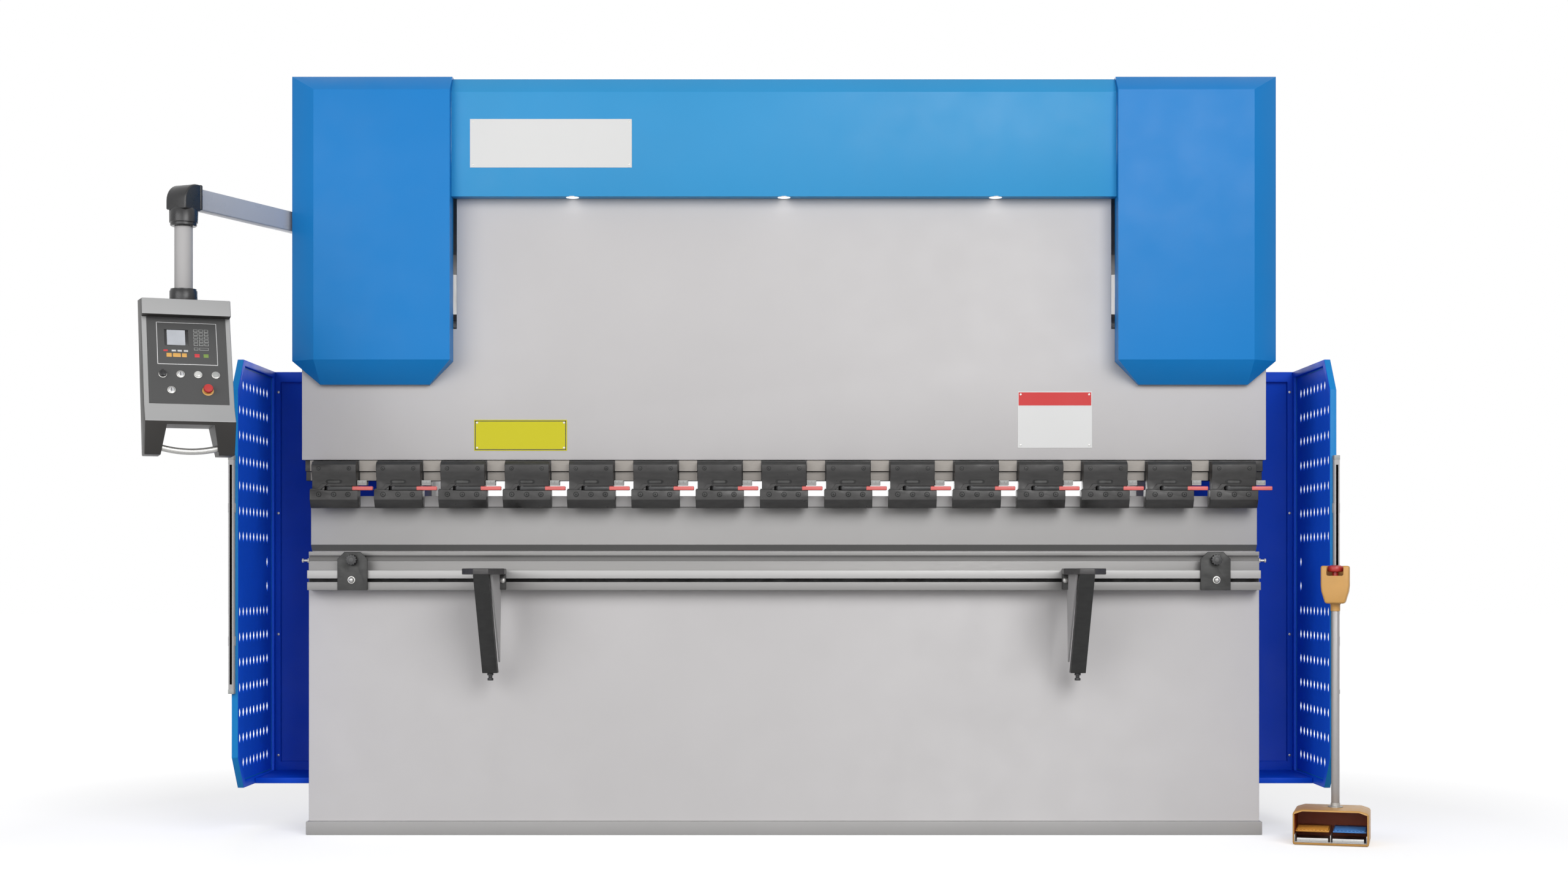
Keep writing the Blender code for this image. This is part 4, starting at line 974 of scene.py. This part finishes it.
class PRESSBRAKE_OT_pendant(Looks):
    """Makes the swing arm, its elbow, the drop tube and the leaning console with its controls"""
    bl_idname = "pressbrake.pendant"
    bl_label = "Make Pendant"

    def holder(self):
        """Where the pendant stands: under the elbow, turned towards the operator."""
        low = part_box("pendant_arm")[0]
        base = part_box("pendant_housing")[0].z
        spot = Matrix.Translation((low.x + ELBOW_IN, low.y + ELBOW_IN, base))
        return spot @ Matrix.Rotation(PENDANT_TURN, 4, "Z")

    def on_panel(self, piece):
        """Lays a piece made upright (z is minus the distance down, -y is out) on the panel."""
        return turn(piece, self.holder() @ self.seat())

    def seat(self):
        return Matrix.Translation((0, *PANEL_TOP)) @ Matrix.Rotation(-PANEL_LEAN, 4, "X")

    def execute(self, context):
        self.arm()
        self.housing()
        self.panel()
        self.keys()
        self.controls()
        return {"FINISHED"}

    def arm(self):
        """A flat-sided tube from its hub to the elbow, which bends down into a ring."""
        low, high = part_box("pendant_arm")
        foot, top = low.z + 0.060, low.z + 0.1275
        elbow = Vector((low.x + ELBOW_IN, low.y + ELBOW_IN))
        pivot = Vector((high.x - 0.045, high.y - 0.045))
        along = (pivot - elbow).normalized()
        across = Vector((along.y, -along.x)) * 0.0195
        start = elbow + along * 0.040
        outline = [tuple(spot) for spot in (start + across, pivot + across, pivot - across, start - across)]
        tube = sheet_from(outline, "Z", foot + 0.0005, top - 0.0005, 0.004, 3)
        finish(tube, "pendant_arm_tube", "arm", "tube", ("pendant_arm",))
        hub = lathe([(0.040, 0.0), (0.044, 0.003), (0.044, 0.060), (0.040, 0.066), (0.018, 0.0665)],
                    (*pivot, foot), "Z", 40)
        finish(hub, "pendant_arm_hub", "arm", "dark_plastic")
        seat = Matrix.Translation((*elbow, low.z)) @ Matrix.Rotation(math.atan2(along.y, along.x), 4, "Z")
        socket = lathe([(0.0385, 0.0005), (0.0410, 0.003), (0.0410, 0.010), (0.0440, 0.012), (0.0445, 0.048),
                        (0.0415, 0.052), (0.0390, 0.056)], (0, 0, 0), "Z", 48)
        finish(turn(socket, seat), "pendant_elbow_socket", "arm", "black_plastic")
        bend = [(-0.0385, 0.050), (-0.0385, 0.078)]
        bend += [(0.0215 - 0.060 * math.cos(QUARTER * i / 8), 0.078 + 0.0560 * math.sin(QUARTER * i / 8))
                 for i in range(1, 9)]
        bend += [(0.0430, 0.1340), (0.0430, 0.0560), (0.0350, 0.050)]
        body = sheet_from(bend, "Y", -0.0385, 0.0385, 0.012, 5)
        finish(turn(body, seat), "pendant_elbow", "arm", "black_plastic")
        mouth = box((0.0330, -0.0405, 0.0545), (0.0445, 0.0405, 0.1342), 0.004, 3)
        finish(turn(mouth, seat), "pendant_elbow_mouth", "arm", "black_plastic")
        collar = lathe([(0.0425, 0.0), (0.0425, 0.010), (0.0405, 0.011)], (*elbow, low.z + 0.018), "Z", 48)
        finish(collar, "pendant_elbow_ring", "arm", "dark_plastic")

    def housing(self):
        """The console's shell with its two legs, then the drop tube, its collar and the handle."""
        place, half = self.holder(), PENDANT_WIDTH / 2
        low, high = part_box("pendant_housing")
        top, tube_foot = high.z - low.z, 0.530
        shell = sheet_from(PENDANT_SIDE, "X", -half + 0.0003, half - 0.0003, 0.0030, 3)
        notch = sheet_from([(-0.086, -0.02), (0.086, -0.02), (0.086, 0.0), (0.070, 0.0908), (-0.070, 0.0908),
                            (-0.086, 0.0)], "Y", -0.4, 0.3, 0.0)
        carve(shell, notch)
        hole = self.stop_hole()
        hole.data.transform(self.seat())
        carve(shell, hole)
        finish(shell, "pendant_shell", "pendant", "pendant", ("pendant_housing",))
        # Faces that look forward and not down get the light grey; the rest keep the dark grey, which on the
        # downward-facing legs is painted shade
        paint_faces(shell, "pendant_light", lambda at, way: way.y < -0.3 and way.z > -0.1 and at.z > 0.098)
        turn(shell, place)
        drop = disc((0, 0, (tube_foot + top) / 2), 0.0283, top - tube_foot - 0.0008, "Z", 0.0006, 48)
        finish(turn(drop, place), "pendant_drop_tube", "pendant", "satin")
        collar = lathe([(0.0425, 0.494), (0.0433, 0.497), (0.0433, 0.5265), (0.0405, 0.5300),
                        (0.0405, 0.5335), (0.0300, 0.5345)], (0, 0, 0), "Z", 48)
        finish(turn(collar, place), "pendant_collar", "pendant", "black_plastic")
        finish(turn(self.handle(half), place), "pendant_handle", "pendant", "zinc")

    def handle(self, half):
        """A round bar between the two legs, bowed a little down at its middle."""
        shares = [i / 12 - 1 for i in range(25)]
        return rod([((half - 0.016) * share, -0.2220, 0.0110 + 0.0215 * share ** 2) for share in shares],
                   0.0098, 6, 60)

    def slab(self, name, finish_name, across, down, out, width, segments):
        """A flat piece on the panel: across and down are ranges, out is how far it stands proud."""
        piece = box((across[0], -out, -down[1]), (across[1], 0.0010, -down[0]), width, segments)
        if down[0] < STOP_SPOT[1] < down[1]:
            carve(piece, self.stop_hole())
        return finish(self.on_panel(piece), name, "pendant", finish_name)

    def stop_hole(self):
        """The tool for the hole that the stop button's stem moves in."""
        return disc((STOP_SPOT[0], 0.004, -STOP_SPOT[1]), 0.0086, 0.024, "Y", 0.0, 40)

    def panel(self):
        """The panel's sheet, step and face, then the display unit with its screen."""
        for name, finish_name, half, down, out, width, segments in (
                ("panel", "panel", 0.119, (0.0022, 0.3125), 0.0010, 0.0004, 1),
                ("panel_step", "dark_plastic", 0.1135, (0.0050, 0.3040), 0.0012, 0.0003, 1),
                ("panel_face", "panel", 0.1125, (0.0060, 0.3030), 0.0015, 0.0003, 1),
                ("unit", "key_white", 0.0905, (0.0212, 0.1735), 0.0024, 0.0011, 2),
                ("unit_face", "panel", 0.0885, (0.0232, 0.1715), 0.0028, 0.0008, 2)):
            self.slab(f"pendant_{name}", finish_name, (-half, half), down, out, width, segments)
        self.slab("pendant_screen_rim", "black_plastic", (-0.0675, 0.0045), (0.0475, 0.1055), 0.0036, 0.0008,
                  2)
        self.slab("pendant_screen", "screen", (-0.0597, -0.0051), (0.0497, 0.1042), 0.0039, 0.0004, 1)

    def keys(self):
        """The keypad's outlined keys, and the coloured keys under it and under the screen."""
        outlines, faces = [], []
        spots = [(x, down, 0.0125) for x in (0.0265, 0.0427, 0.0585)
                 for down in (0.0500, 0.0625, 0.0750, 0.0875, 0.0994)]
        spots += [(0.0265, 0.1160, 0.0125), (0.0502, 0.1160, 0.0276)]
        for x, down, width in spots:
            outlines.append(self.key(x, down, width, 0.0095, 0.0033))
            faces.append(self.key(x, down, width - 0.0022, 0.0073, 0.0036))
        orange = ((-0.0627, -0.0470), (-0.0435, -0.0200), (-0.0165, -0.0021))
        coloured = {
            "key_white": [self.key(x, 0.1243, 0.0130, 0.0062, 0.0035) for x in (-0.0404, -0.0228, -0.0042)],
            "key_red": [self.key(-0.0647, 0.1243, 0.0130, 0.0062, 0.0035),
                        self.key(0.0286, 0.1404, 0.0150, 0.0125, 0.0038)],
            "key_orange": [self.key((start + end) / 2, 0.1403, end - start, 0.0138, 0.0038)
                           for start, end in orange],
            "key_green": [self.key(0.0554, 0.1406, 0.0150, 0.0125, 0.0038)],
        }
        finish(self.on_panel(joined(outlines)), "pendant_key_outlines", "pendant", "grey_plastic")
        finish(self.on_panel(joined(faces)), "pendant_key_faces", "pendant", "panel")
        for finish_name, group in coloured.items():
            finish(self.on_panel(joined(group)), f"pendant_keys_{finish_name[4:]}", "pendant", finish_name)

    def key(self, x, down, width, height, out):
        """One key, from the display unit's face out."""
        return box((x - width / 2, -out, -down - height / 2), (x + width / 2, -0.0024, -down + height / 2),
                   0.0005, 2)

    def round_control(self, name, spot, radius, reach, finish_name, body="pendant", replaces=(),
                      start=0.0010):
        """A turned ring, lens or knob that stands out from the panel."""
        profile = [(radius, -start), (radius, -reach + 0.0012), (radius * 0.84, -reach)]
        piece = lathe(profile, (0, 0, 0), "Y", 36)
        piece.data.transform(Matrix.Translation((spot[0], 0, -spot[1])))
        outward(piece)
        if spot == STOP_SPOT:
            carve(piece, self.stop_hole())
        return finish(self.on_panel(piece), name, body, finish_name, replaces)

    def controls(self):
        """Selector, key switches, lamp, push button and stop button, placed by (across, down)."""
        selector, button, lamp = (-0.0759, 0.2087), (0.0819, 0.2082), (0.0292, 0.2082)
        first, second = (-0.0231, 0.2081), (-0.0519, 0.2648)
        for name, spot in (("button", button), ("lamp", lamp), ("key_switch_1", first),
                           ("key_switch_2", second)):
            self.round_control(f"pendant_{name}_ring", spot, 0.0126, 0.0048, "zinc")
        self.round_control("pendant_selector_ring", selector, 0.0126, 0.0034, "zinc")
        self.round_control("pendant_selector_knob", selector, 0.0112, 0.0100, "black_plastic", "selector",
                           ("pendant_selector",), 0.0036)
        self.bar_on("pendant_selector_ridge", selector, 0.0030, 0.0110, (0.0090, 0.0140), 0.001, "selector",
                    "black_plastic")
        for number, spot in enumerate((first, second), start=1):
            self.round_control(f"pendant_key_switch_{number}_barrel", spot, 0.0085, 0.0068, "chrome")
            # Painted shade: a near-black bar for each key switch's slot
            self.bar_on(f"pendant_key_switch_{number}_slot", spot, 0.0010, 0.0055, (0.0062, 0.0074), 0,
                        "pendant", "socket")
        self.round_control("pendant_lamp_lens", lamp, 0.0100, 0.0085, "lamp_white")
        self.round_control("pendant_push_button", button, 0.0096, 0.0070, "grey_plastic")
        self.round_control("pendant_stop_ring", STOP_SPOT, 0.0172, 0.0030, "key_orange")
        profile = [(0.0080, -0.0032), (0.0080, -0.0110), (0.0140, -0.0116), (0.0148, -0.0138),
                   (0.0148, -0.0170), (0.0130, -0.0200), (0.0065, -0.0208)]
        head = lathe(profile, (0, 0, 0), "Y", 40)
        head.data.transform(Matrix.Translation((STOP_SPOT[0], 0, -STOP_SPOT[1])))
        outward(head)
        finish(self.on_panel(head), "pendant_stop_head", "pendant_stop", "stop", ("pendant_stop_button",))

    def bar_on(self, name, spot, half, reach, out, width, body, finish_name):
        """An upright bar on a control: half its width, half its height, and from where to where it stands."""
        low = (spot[0] - half, -out[1], -spot[1] - reach)
        high = (spot[0] + half, -out[0], -spot[1] + reach)
        finish(self.on_panel(box(low, high, width, 2 if width else 1)), name, body, finish_name)


class PRESSBRAKE_OT_foot_switch(Looks):
    """Makes the foot switch's shell, tray and pedals, and the stop button on its post"""
    bl_idname = "pressbrake.foot_switch"
    bl_label = "Make Foot Switch"

    def place(self):
        """The switch's own frame: the middle of its front edge on the floor, turned to the operator."""
        low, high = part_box("foot_switch_housing")
        middle = (low + high) / 2
        back = Vector((-math.sin(SWITCH_TURN), math.cos(SWITCH_TURN), 0)) * SWITCH_DEPTH / 2
        front = Vector((middle.x, middle.y, 0)) - back
        return Matrix.Translation(front) @ Matrix.Rotation(SWITCH_TURN, 4, "Z")

    def execute(self, context):
        place = self.place()
        self.shell(place)
        self.pedals(place)
        self.post(place)
        return {"FINISHED"}

    def roofed(self, half, foot, shoulder, ridge, high):
        """A front view with upright sides and a roof that leans in from its shoulders to a ridge."""
        return [(-half, foot), (half, foot), (half, shoulder), (ridge, high), (-ridge, high),
                (-half, shoulder)]

    def shell(self, place):
        """The shell, open in front, with a tray between the pedals and four rubber feet."""
        half, deep, high, wall = SWITCH_HALF, SWITCH_DEPTH, SWITCH_HIGH, 0.0055
        shoulder, ridge = high - 0.009, half - 0.030
        outer = sheet_from(self.roofed(half, 0.0002, shoulder, ridge, high), "Y", 0.0002, deep, 0.0075, 5)
        inside = self.roofed(half - wall, wall + 0.003, shoulder - wall, ridge - 0.001, high - wall)
        carve(outer, sheet_from(inside, "Y", -0.02, deep - wall, 0.0), 30)
        finish(outer, "foot_switch_shell", "frame", "switch", ("foot_switch_housing",))
        # Painted shade: faces that look into the shell get the darker orange
        middle = Vector((0, 0.02, 0.055))
        paint_faces(outer, "switch_inside_shade", lambda at, way: (middle - at).dot(way) > 0.001 and at.y > 0.004)
        turn(outer, place)
        tray = [box((-half + 0.008, 0.001, 0.0088), (half - 0.008, deep - 0.010, 0.0115), 0.0006, 1)]
        tray += [box((x - 0.0011, 0.0012, 0.0090), (x + 0.0011, 0.120, 0.0340), 0.0005, 2)
                 for x in (-half + 0.0068, 0.0, half - 0.0068)]
        tray += [box((start, 0.0012, 0.0090), (start + 0.098, 0.0045, 0.0240), 0.0008, 2)
                 for start in (-half + 0.014, 0.006)]
        finish(turn(joined(tray), place), "foot_switch_tray", "frame", "zinc")
        feet = [disc((x, y, 0.0006), 0.012, 0.0010, "Z", 0.0002, 24)
                for x in (-0.09, 0.09) for y in (0.025, 0.175)]
        finish(turn(joined(feet), place), "foot_switch_feet", "frame", "rubber")

    def pedals(self, place):
        """Each pedal: a plate with ribs across it and teeth along its front edge."""
        side_view = [(0.030, 0.0405), (0.030, 0.0455), (0.170, 0.0505), (0.186, 0.048), (0.186, 0.0405)]
        for label, side, finish_name, body in (("left", -1, "pedal_orange", "pedal_a"),
                                               ("right", 1, "pedal_blue", "pedal_b")):
            near, far = sorted((side * 0.0060, side * 0.1115))
            forms = [sheet_from(side_view, "X", near, far, 0.0014, 2)]
            for i in range(9):
                front, foot = 0.034 + 0.011 * i, 0.0462 + 0.0004 * i
                forms.append(box((near + 0.004, front, foot), (far - 0.004, front + 0.004, foot + 0.0024),
                                 0.0006, 1))
            for i in range(8):
                start = near + 0.006 + 0.0122 * i
                forms.append(box((start, 0.0296, 0.0430), (start + 0.0070, 0.0330, 0.0488), 0.0006, 1))
            finish(turn(joined(forms), place), f"pedal_{label}_shape", body, finish_name, (f"pedal_{label}",))

    def post(self, place):
        """The pole on its flange, the neck and cup at its top, and the stop button in the cup."""
        roof = 0.1152
        cup_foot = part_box("foot_stop_button")[1].z - 0.126
        place = place @ Matrix.Translation((0.0105, 0.110, 0.0))
        height = cup_foot - 0.024 - roof - 0.0008
        pole = disc((0, 0, roof + 0.0004 + height / 2), 0.0134, height, "Z", 0.0003, 40)
        finish(turn(pole, place), "foot_stop_pole", "frame", "post", ("foot_stop_post",))
        flange = lathe([(0.024, 0.0), (0.024, 0.003), (0.0150, 0.0045), (0.0150, 0.014)],
                       (0, 0, roof), "Z", 40)
        finish(turn(flange, place), "foot_stop_flange", "frame", "zinc")
        neck = lathe([(0.0152, 0.0), (0.0154, 0.006), (0.0154, 0.020), (0.0190, 0.026)],
                     (0, 0, cup_foot - 0.024), "Z", 40)
        finish(turn(neck, place), "foot_stop_neck", "frame", "switch")
        self.cup(place, cup_foot)
        ring = disc((0, -0.004, cup_foot + 0.0775), 0.0200, 0.004, "Z", 0.0008, 40)
        finish(turn(ring, place), "foot_stop_ring", "frame", "black_plastic")
        profile = [(0.0098, 0.066), (0.0098, 0.1030), (0.0235, 0.1045), (0.0262, 0.1080), (0.0262, 0.1165),
                   (0.0240, 0.1220), (0.0160, 0.1253), (0.0060, 0.1258)]
        head = lathe(profile, (0, -0.004, cup_foot), "Z", 48)
        finish(turn(head, place), "foot_stop_head", "foot_stop", "stop", ("foot_stop_button",))

    def cup(self, place, low):
        """The guard round the stop: hollow from above, with a notch in its front wall."""
        half, depth, tall = 0.0453, 0.0798, 0.1238
        outline = [(half - 0.014, low + 0.0005), (half - 0.002, low + 0.040), (half, low + 0.060),
                   (half, low + tall)]
        outline = [(-u, v) for u, v in outline] + outline[::-1]
        cup = sheet_from(outline, "Y", -depth / 2, depth / 2, 0.007, 4)
        above = low + tall + 0.02
        carve(cup, box((-half + 0.008, -0.0315, low + 0.075), (half - 0.008, 0.0315, above), 0.004, 3), 30)
        carve(cup, box((-0.0270, -0.0600, low + 0.091), (0.0270, 0.0, above), 0.006, 3), 30)
        finish(cup, "foot_stop_cup", "frame", "switch")
        turn(cup, place)


class PRESSBRAKE_OT_rear(Looks):
    """Dresses the motor, and adds the filler, valve block, pipes and the cabinet door's fittings"""
    bl_idname = "pressbrake.rear"
    bl_label = "Make Rear Fittings"

    def execute(self, context):
        self.motor()
        self.tank()
        self.pipes()
        self.cabinet()
        return {"FINISHED"}

    def motor(self):
        """The motor's body, fan cowl and pump end, its fins, and its foot on the tank."""
        low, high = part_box("motor_pump")
        middle, axle = (low.y + high.y) / 2, high.z - 0.085
        body = lathe([(0.070, 0.0), (0.080, 0.006), (0.080, 0.262), (0.074, 0.270)],
                     (low.x, middle, axle), "X", 48)
        finish(body, "motor_body", "frame", "pendant_light", ("motor_pump",))
        fins, count = [], 28
        for i in range(count):
            fin = box((low.x + 0.055, -0.0015, 0.078), (low.x + 0.245, 0.0015, 0.0848), 0.0005, 1)
            around = Matrix.Rotation(2 * math.pi * i / count, 4, "X")
            fins.append(turn(fin, Matrix.Translation((0, middle, axle)) @ around))
        finish(joined(fins), "motor_fins", "frame", "pendant_light")
        cowl = lathe([(0.060, 0.0), (0.0840, 0.004), (0.0848, 0.012), (0.0848, 0.050)],
                     (low.x, middle, axle), "X", 48)
        finish(cowl, "motor_fan_cowl", "frame", "black_plastic")
        pump = lathe([(0.058, 0.0), (0.058, 0.020), (0.045, 0.024), (0.045, 0.110), (0.030, 0.114),
                      (0.030, 0.158)], (high.x - 0.160, middle, axle), "X", 40)
        finish(pump, "motor_pump_end", "frame", "support")
        foot = box((low.x + 0.055, low.y + 0.006, low.z),
                   (low.x + 0.245, high.y - 0.006, low.z + 0.012), 0.002)
        saddle = box((low.x + 0.075, low.y + 0.035, low.z + 0.010),
                     (low.x + 0.225, high.y - 0.035, low.z + 0.040), 0.003)
        finish(joined([foot, saddle]), "motor_foot", "frame", "pendant_light")

    def tank(self):
        """Filler and level window of the oil tank, and the valve block on it with three coils."""
        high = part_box("oil_tank")[1]
        neck = [(0.030, 0.0), (0.030, 0.012), (0.024, 0.014), (0.024, 0.040), (0.032, 0.042), (0.032, 0.060),
                (0.026, 0.066)]
        finish(lathe(neck, (0.62, high.y - 0.12, high.z), "Z", 40), "oil_filler", "frame", "black_plastic")
        window = box((-0.62, high.y - 0.0005, high.z - 0.21),
                     (-0.585, high.y + 0.012, high.z - 0.06), 0.003, 3)
        finish(window, "oil_level_window", "frame", "lamp_white")
        valve = box((0.20, high.y - 0.36, high.z), (0.34, high.y - 0.22, high.z + 0.090), 0.003)
        finish(valve, "valve_block", "frame", "steel")
        coils = [disc((x, high.y - 0.29, high.z + 0.112), 0.014, 0.046, "Z", 0.002, 28)
                 for x in (0.235, 0.270, 0.305)]
        finish(joined(coils), "valve_coils", "frame", "black_plastic")

    def pipes(self):
        """A pipe from the valve block to the top of each cylinder."""
        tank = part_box("oil_tank")[1]
        for label, side in SIDES:
            low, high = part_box(f"cylinder_{label}")
            end, middle = (low.x + high.x) / 2, (low.y + high.y) / 2 - 0.01
            start, riser = side * 0.02 + 0.27, end - side * 0.070
            back, level, crown = tank.y - 0.42, tank.z + 0.030, high.z + 0.022
            route = [(start, tank.y - 0.359, level), (start, tank.y - 0.40, level), (start, back, level),
                     (end - side * 0.095, back, level), (riser, back - 0.01, level + 0.02),
                     (riser, back - 0.01, high.z + 0.020), (end - side * 0.05, high.y - 0.10, crown),
                     (end, middle, crown), (end, middle, high.z - 0.002)]
            finish(rod(route, 0.008, 4, 50), f"pressure_pipe_{label}", "frame", "zinc")

    def cabinet(self):
        """Latch, vents and hinges of the electric cabinet's door."""
        low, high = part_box("cabinet_door")
        middle = (low.z + high.z) / 2
        latch = box((high.x - 0.001, low.y + 0.030, middle - 0.045),
                    (high.x + 0.012, low.y + 0.052, middle + 0.045), 0.004, 3)
        finish(latch, "cabinet_latch", "cabinet_door", "black_plastic")
        vents = []
        for i in range(8):
            foot = low.z + 0.10 + 0.022 * i
            vents.append(box((high.x - 0.0006, low.y + 0.14, foot),
                             (high.x + 0.0012, high.y - 0.14, foot + 0.008), 0.0005, 1))
        finish(joined(vents), "cabinet_vents", "cabinet_door", "machine")
        hinges = [disc((high.x - 0.004, high.y - 0.006, low.z + share * (high.z - low.z)), 0.0055, 0.07, "Z",
                       0.0006, 20) for share in (0.15, 0.85)]
        finish(joined(hinges), "cabinet_hinges", "cabinet_door", "zinc")


class PRESSBRAKE_OT_stage(Looks):
    """Lays the pale floor and places the lamps and the camera"""
    bl_idname = "pressbrake.stage"
    bl_label = "Set Stage"

    def execute(self, context):
        deselect()
        bpy.ops.mesh.primitive_plane_add(size=80, location=(0, 0, FLOOR_Z))
        floor = bpy.context.active_object
        floor.name = "floor"
        settle(floor)
        floor.data.materials.append(self.pale())
        for name, place, size, power in (("key_light", (3.0, -6.9, 4.6), 4.5, 320),
                                         ("fill_light", (-4.8, -6.0, 3.0), 5.0, 190),
                                         ("front_light", (0.0, -8.6, 2.6), 6.0, 150),
                                         ("back_light", (-1.5, 8.0, 4.2), 6.0, 170)):
            self.lamp(name, place, size, power)
        context.scene.world = self.sky()
        context.scene.camera = self.camera()
        context.scene.view_settings.view_transform = "Standard"
        return {"FINISHED"}

    def camera(self):
        """A level camera in front of the machine's middle."""
        data = bpy.data.cameras.new("camera")
        data.lens = 50.0
        data.sensor_width = 36.0
        data.shift_y = 0.0848
        camera = bpy.data.objects.new("camera", data)
        camera.location = CAMERA_PLACE
        camera.rotation_euler = (QUARTER, 0, 0)
        bpy.context.collection.objects.link(camera)
        return camera

    def seen(self, nodes, links):
        """1 for what the camera, a mirror or glass sees, 0 for what lights the object."""
        path = nodes.new("ShaderNodeLightPath")
        value = path.outputs["Is Camera Ray"]
        for ray in ("Is Glossy Ray", "Is Transmission Ray"):
            total = nodes.new("ShaderNodeMath")
            total.operation = "MAXIMUM"
            links.new(value, total.inputs[0])
            links.new(path.outputs[ray], total.inputs[1])
            value = total.outputs["Value"]
        return value

    def pale(self):
        """Seen as white that keeps the object's shadow, and grey to the light that it throws back."""
        material = bpy.data.materials.new("pale_floor")
        material.use_nodes = True
        nodes, links = material.node_tree.nodes, material.node_tree.links
        nodes.clear()
        seen = self.seen(nodes, links)
        far = new_node(nodes, "ShaderNodeMapRange",
                       {"From Min": 2.6, "From Max": 6.0, "To Min": 0.48, "To Max": 1.0})
        distance = nodes.new("ShaderNodeVectorMath")
        distance.operation = "LENGTH"
        links.new(nodes.new("ShaderNodeTexCoord").outputs["Object"], distance.inputs[0])
        links.new(distance.outputs["Value"], far.inputs["Value"])
        glow = nodes.new("ShaderNodeEmission")
        links.new(far.outputs["Result"], glow.inputs["Strength"])
        white = new_node(nodes, "ShaderNodeBsdfDiffuse", {"Color": (0.80, 0.80, 0.80, 1)})
        lit = nodes.new("ShaderNodeAddShader")
        links.new(glow.outputs["Emission"], lit.inputs[0])
        links.new(white.outputs["BSDF"], lit.inputs[1])
        grey = new_node(nodes, "ShaderNodeBsdfDiffuse", {"Color": (0.35, 0.35, 0.35, 1)})
        mix = nodes.new("ShaderNodeMixShader")
        links.new(seen, mix.inputs["Fac"])
        links.new(grey.outputs["BSDF"], mix.inputs[1])
        links.new(lit.outputs["Shader"], mix.inputs[2])
        out = nodes.new("ShaderNodeOutputMaterial")
        links.new(mix.outputs["Shader"], out.inputs["Surface"])
        return material

    def sky(self):
        """A world that is white to look at and dimmer as a light."""
        world = bpy.data.worlds.new("plain_world")
        world.use_nodes = True
        nodes, links = world.node_tree.nodes, world.node_tree.links
        nodes.clear()
        light = new_node(nodes, "ShaderNodeBackground", {"Color": (1, 1, 1, 1), "Strength": 0.26})
        white = new_node(nodes, "ShaderNodeBackground", {"Color": (1, 1, 1, 1), "Strength": 1.0})
        mix = nodes.new("ShaderNodeMixShader")
        out = nodes.new("ShaderNodeOutputWorld")
        links.new(self.seen(nodes, links), mix.inputs["Fac"])
        links.new(light.outputs["Background"], mix.inputs[1])
        links.new(white.outputs["Background"], mix.inputs[2])
        links.new(mix.outputs["Shader"], out.inputs["Surface"])
        return world

    def lamp(self, name, place, size, power):
        """A square lamp that faces the middle of the machine."""
        data = bpy.data.lights.new(name, "AREA")
        data.size = size
        data.energy = power
        light = bpy.data.objects.new(name, data)
        light.location = place
        light.rotation_euler = (Vector(place) - MIDDLE).to_track_quat("Z", "Y").to_euler()
        bpy.context.collection.objects.link(light)


OPERATORS = (PRESSBRAKE_OT_finishes, PRESSBRAKE_OT_plates, PRESSBRAKE_OT_clamps, PRESSBRAKE_OT_levers,
             PRESSBRAKE_OT_guards, PRESSBRAKE_OT_rail, PRESSBRAKE_OT_name_plates, PRESSBRAKE_OT_pendant,
             PRESSBRAKE_OT_foot_switch, PRESSBRAKE_OT_rear, PRESSBRAKE_OT_stage)


class PRESSBRAKE_PT_panel(bpy.types.Panel):
    """Lists the sizes, the colours and the operators"""
    bl_label = "Press Brake"
    bl_idname = "PRESSBRAKE_PT_panel"
    bl_space_type = "VIEW_3D"
    bl_region_type = "UI"
    bl_category = "Press Brake"

    def draw(self, context):
        for group in (context.scene.press_brake_sizes, context.scene.press_brake_colours):
            for name in group.bl_rna.properties.keys():
                if name not in ("rna_type", "name"):
                    self.layout.prop(group, name)
        for operator in OPERATORS:
            self.layout.operator(operator.bl_idname)


CLASSES = (PressBrakeColours, PressBrakeSizes) + OPERATORS + (PRESSBRAKE_PT_panel,)


def register():
    for cls in CLASSES:
        bpy.utils.register_class(cls)
    bpy.types.Scene.press_brake_colours = bpy.props.PointerProperty(type=PressBrakeColours)
    bpy.types.Scene.press_brake_sizes = bpy.props.PointerProperty(type=PressBrakeSizes)


def unregister():
    del bpy.types.Scene.press_brake_sizes
    del bpy.types.Scene.press_brake_colours
    for cls in reversed(CLASSES):
        bpy.utils.unregister_class(cls)


def main():
    register()
    for operator in OPERATORS:
        group, name = operator.bl_idname.split(".")
        getattr(getattr(bpy.ops, group), name)()


if __name__ == "__main__":
    main()
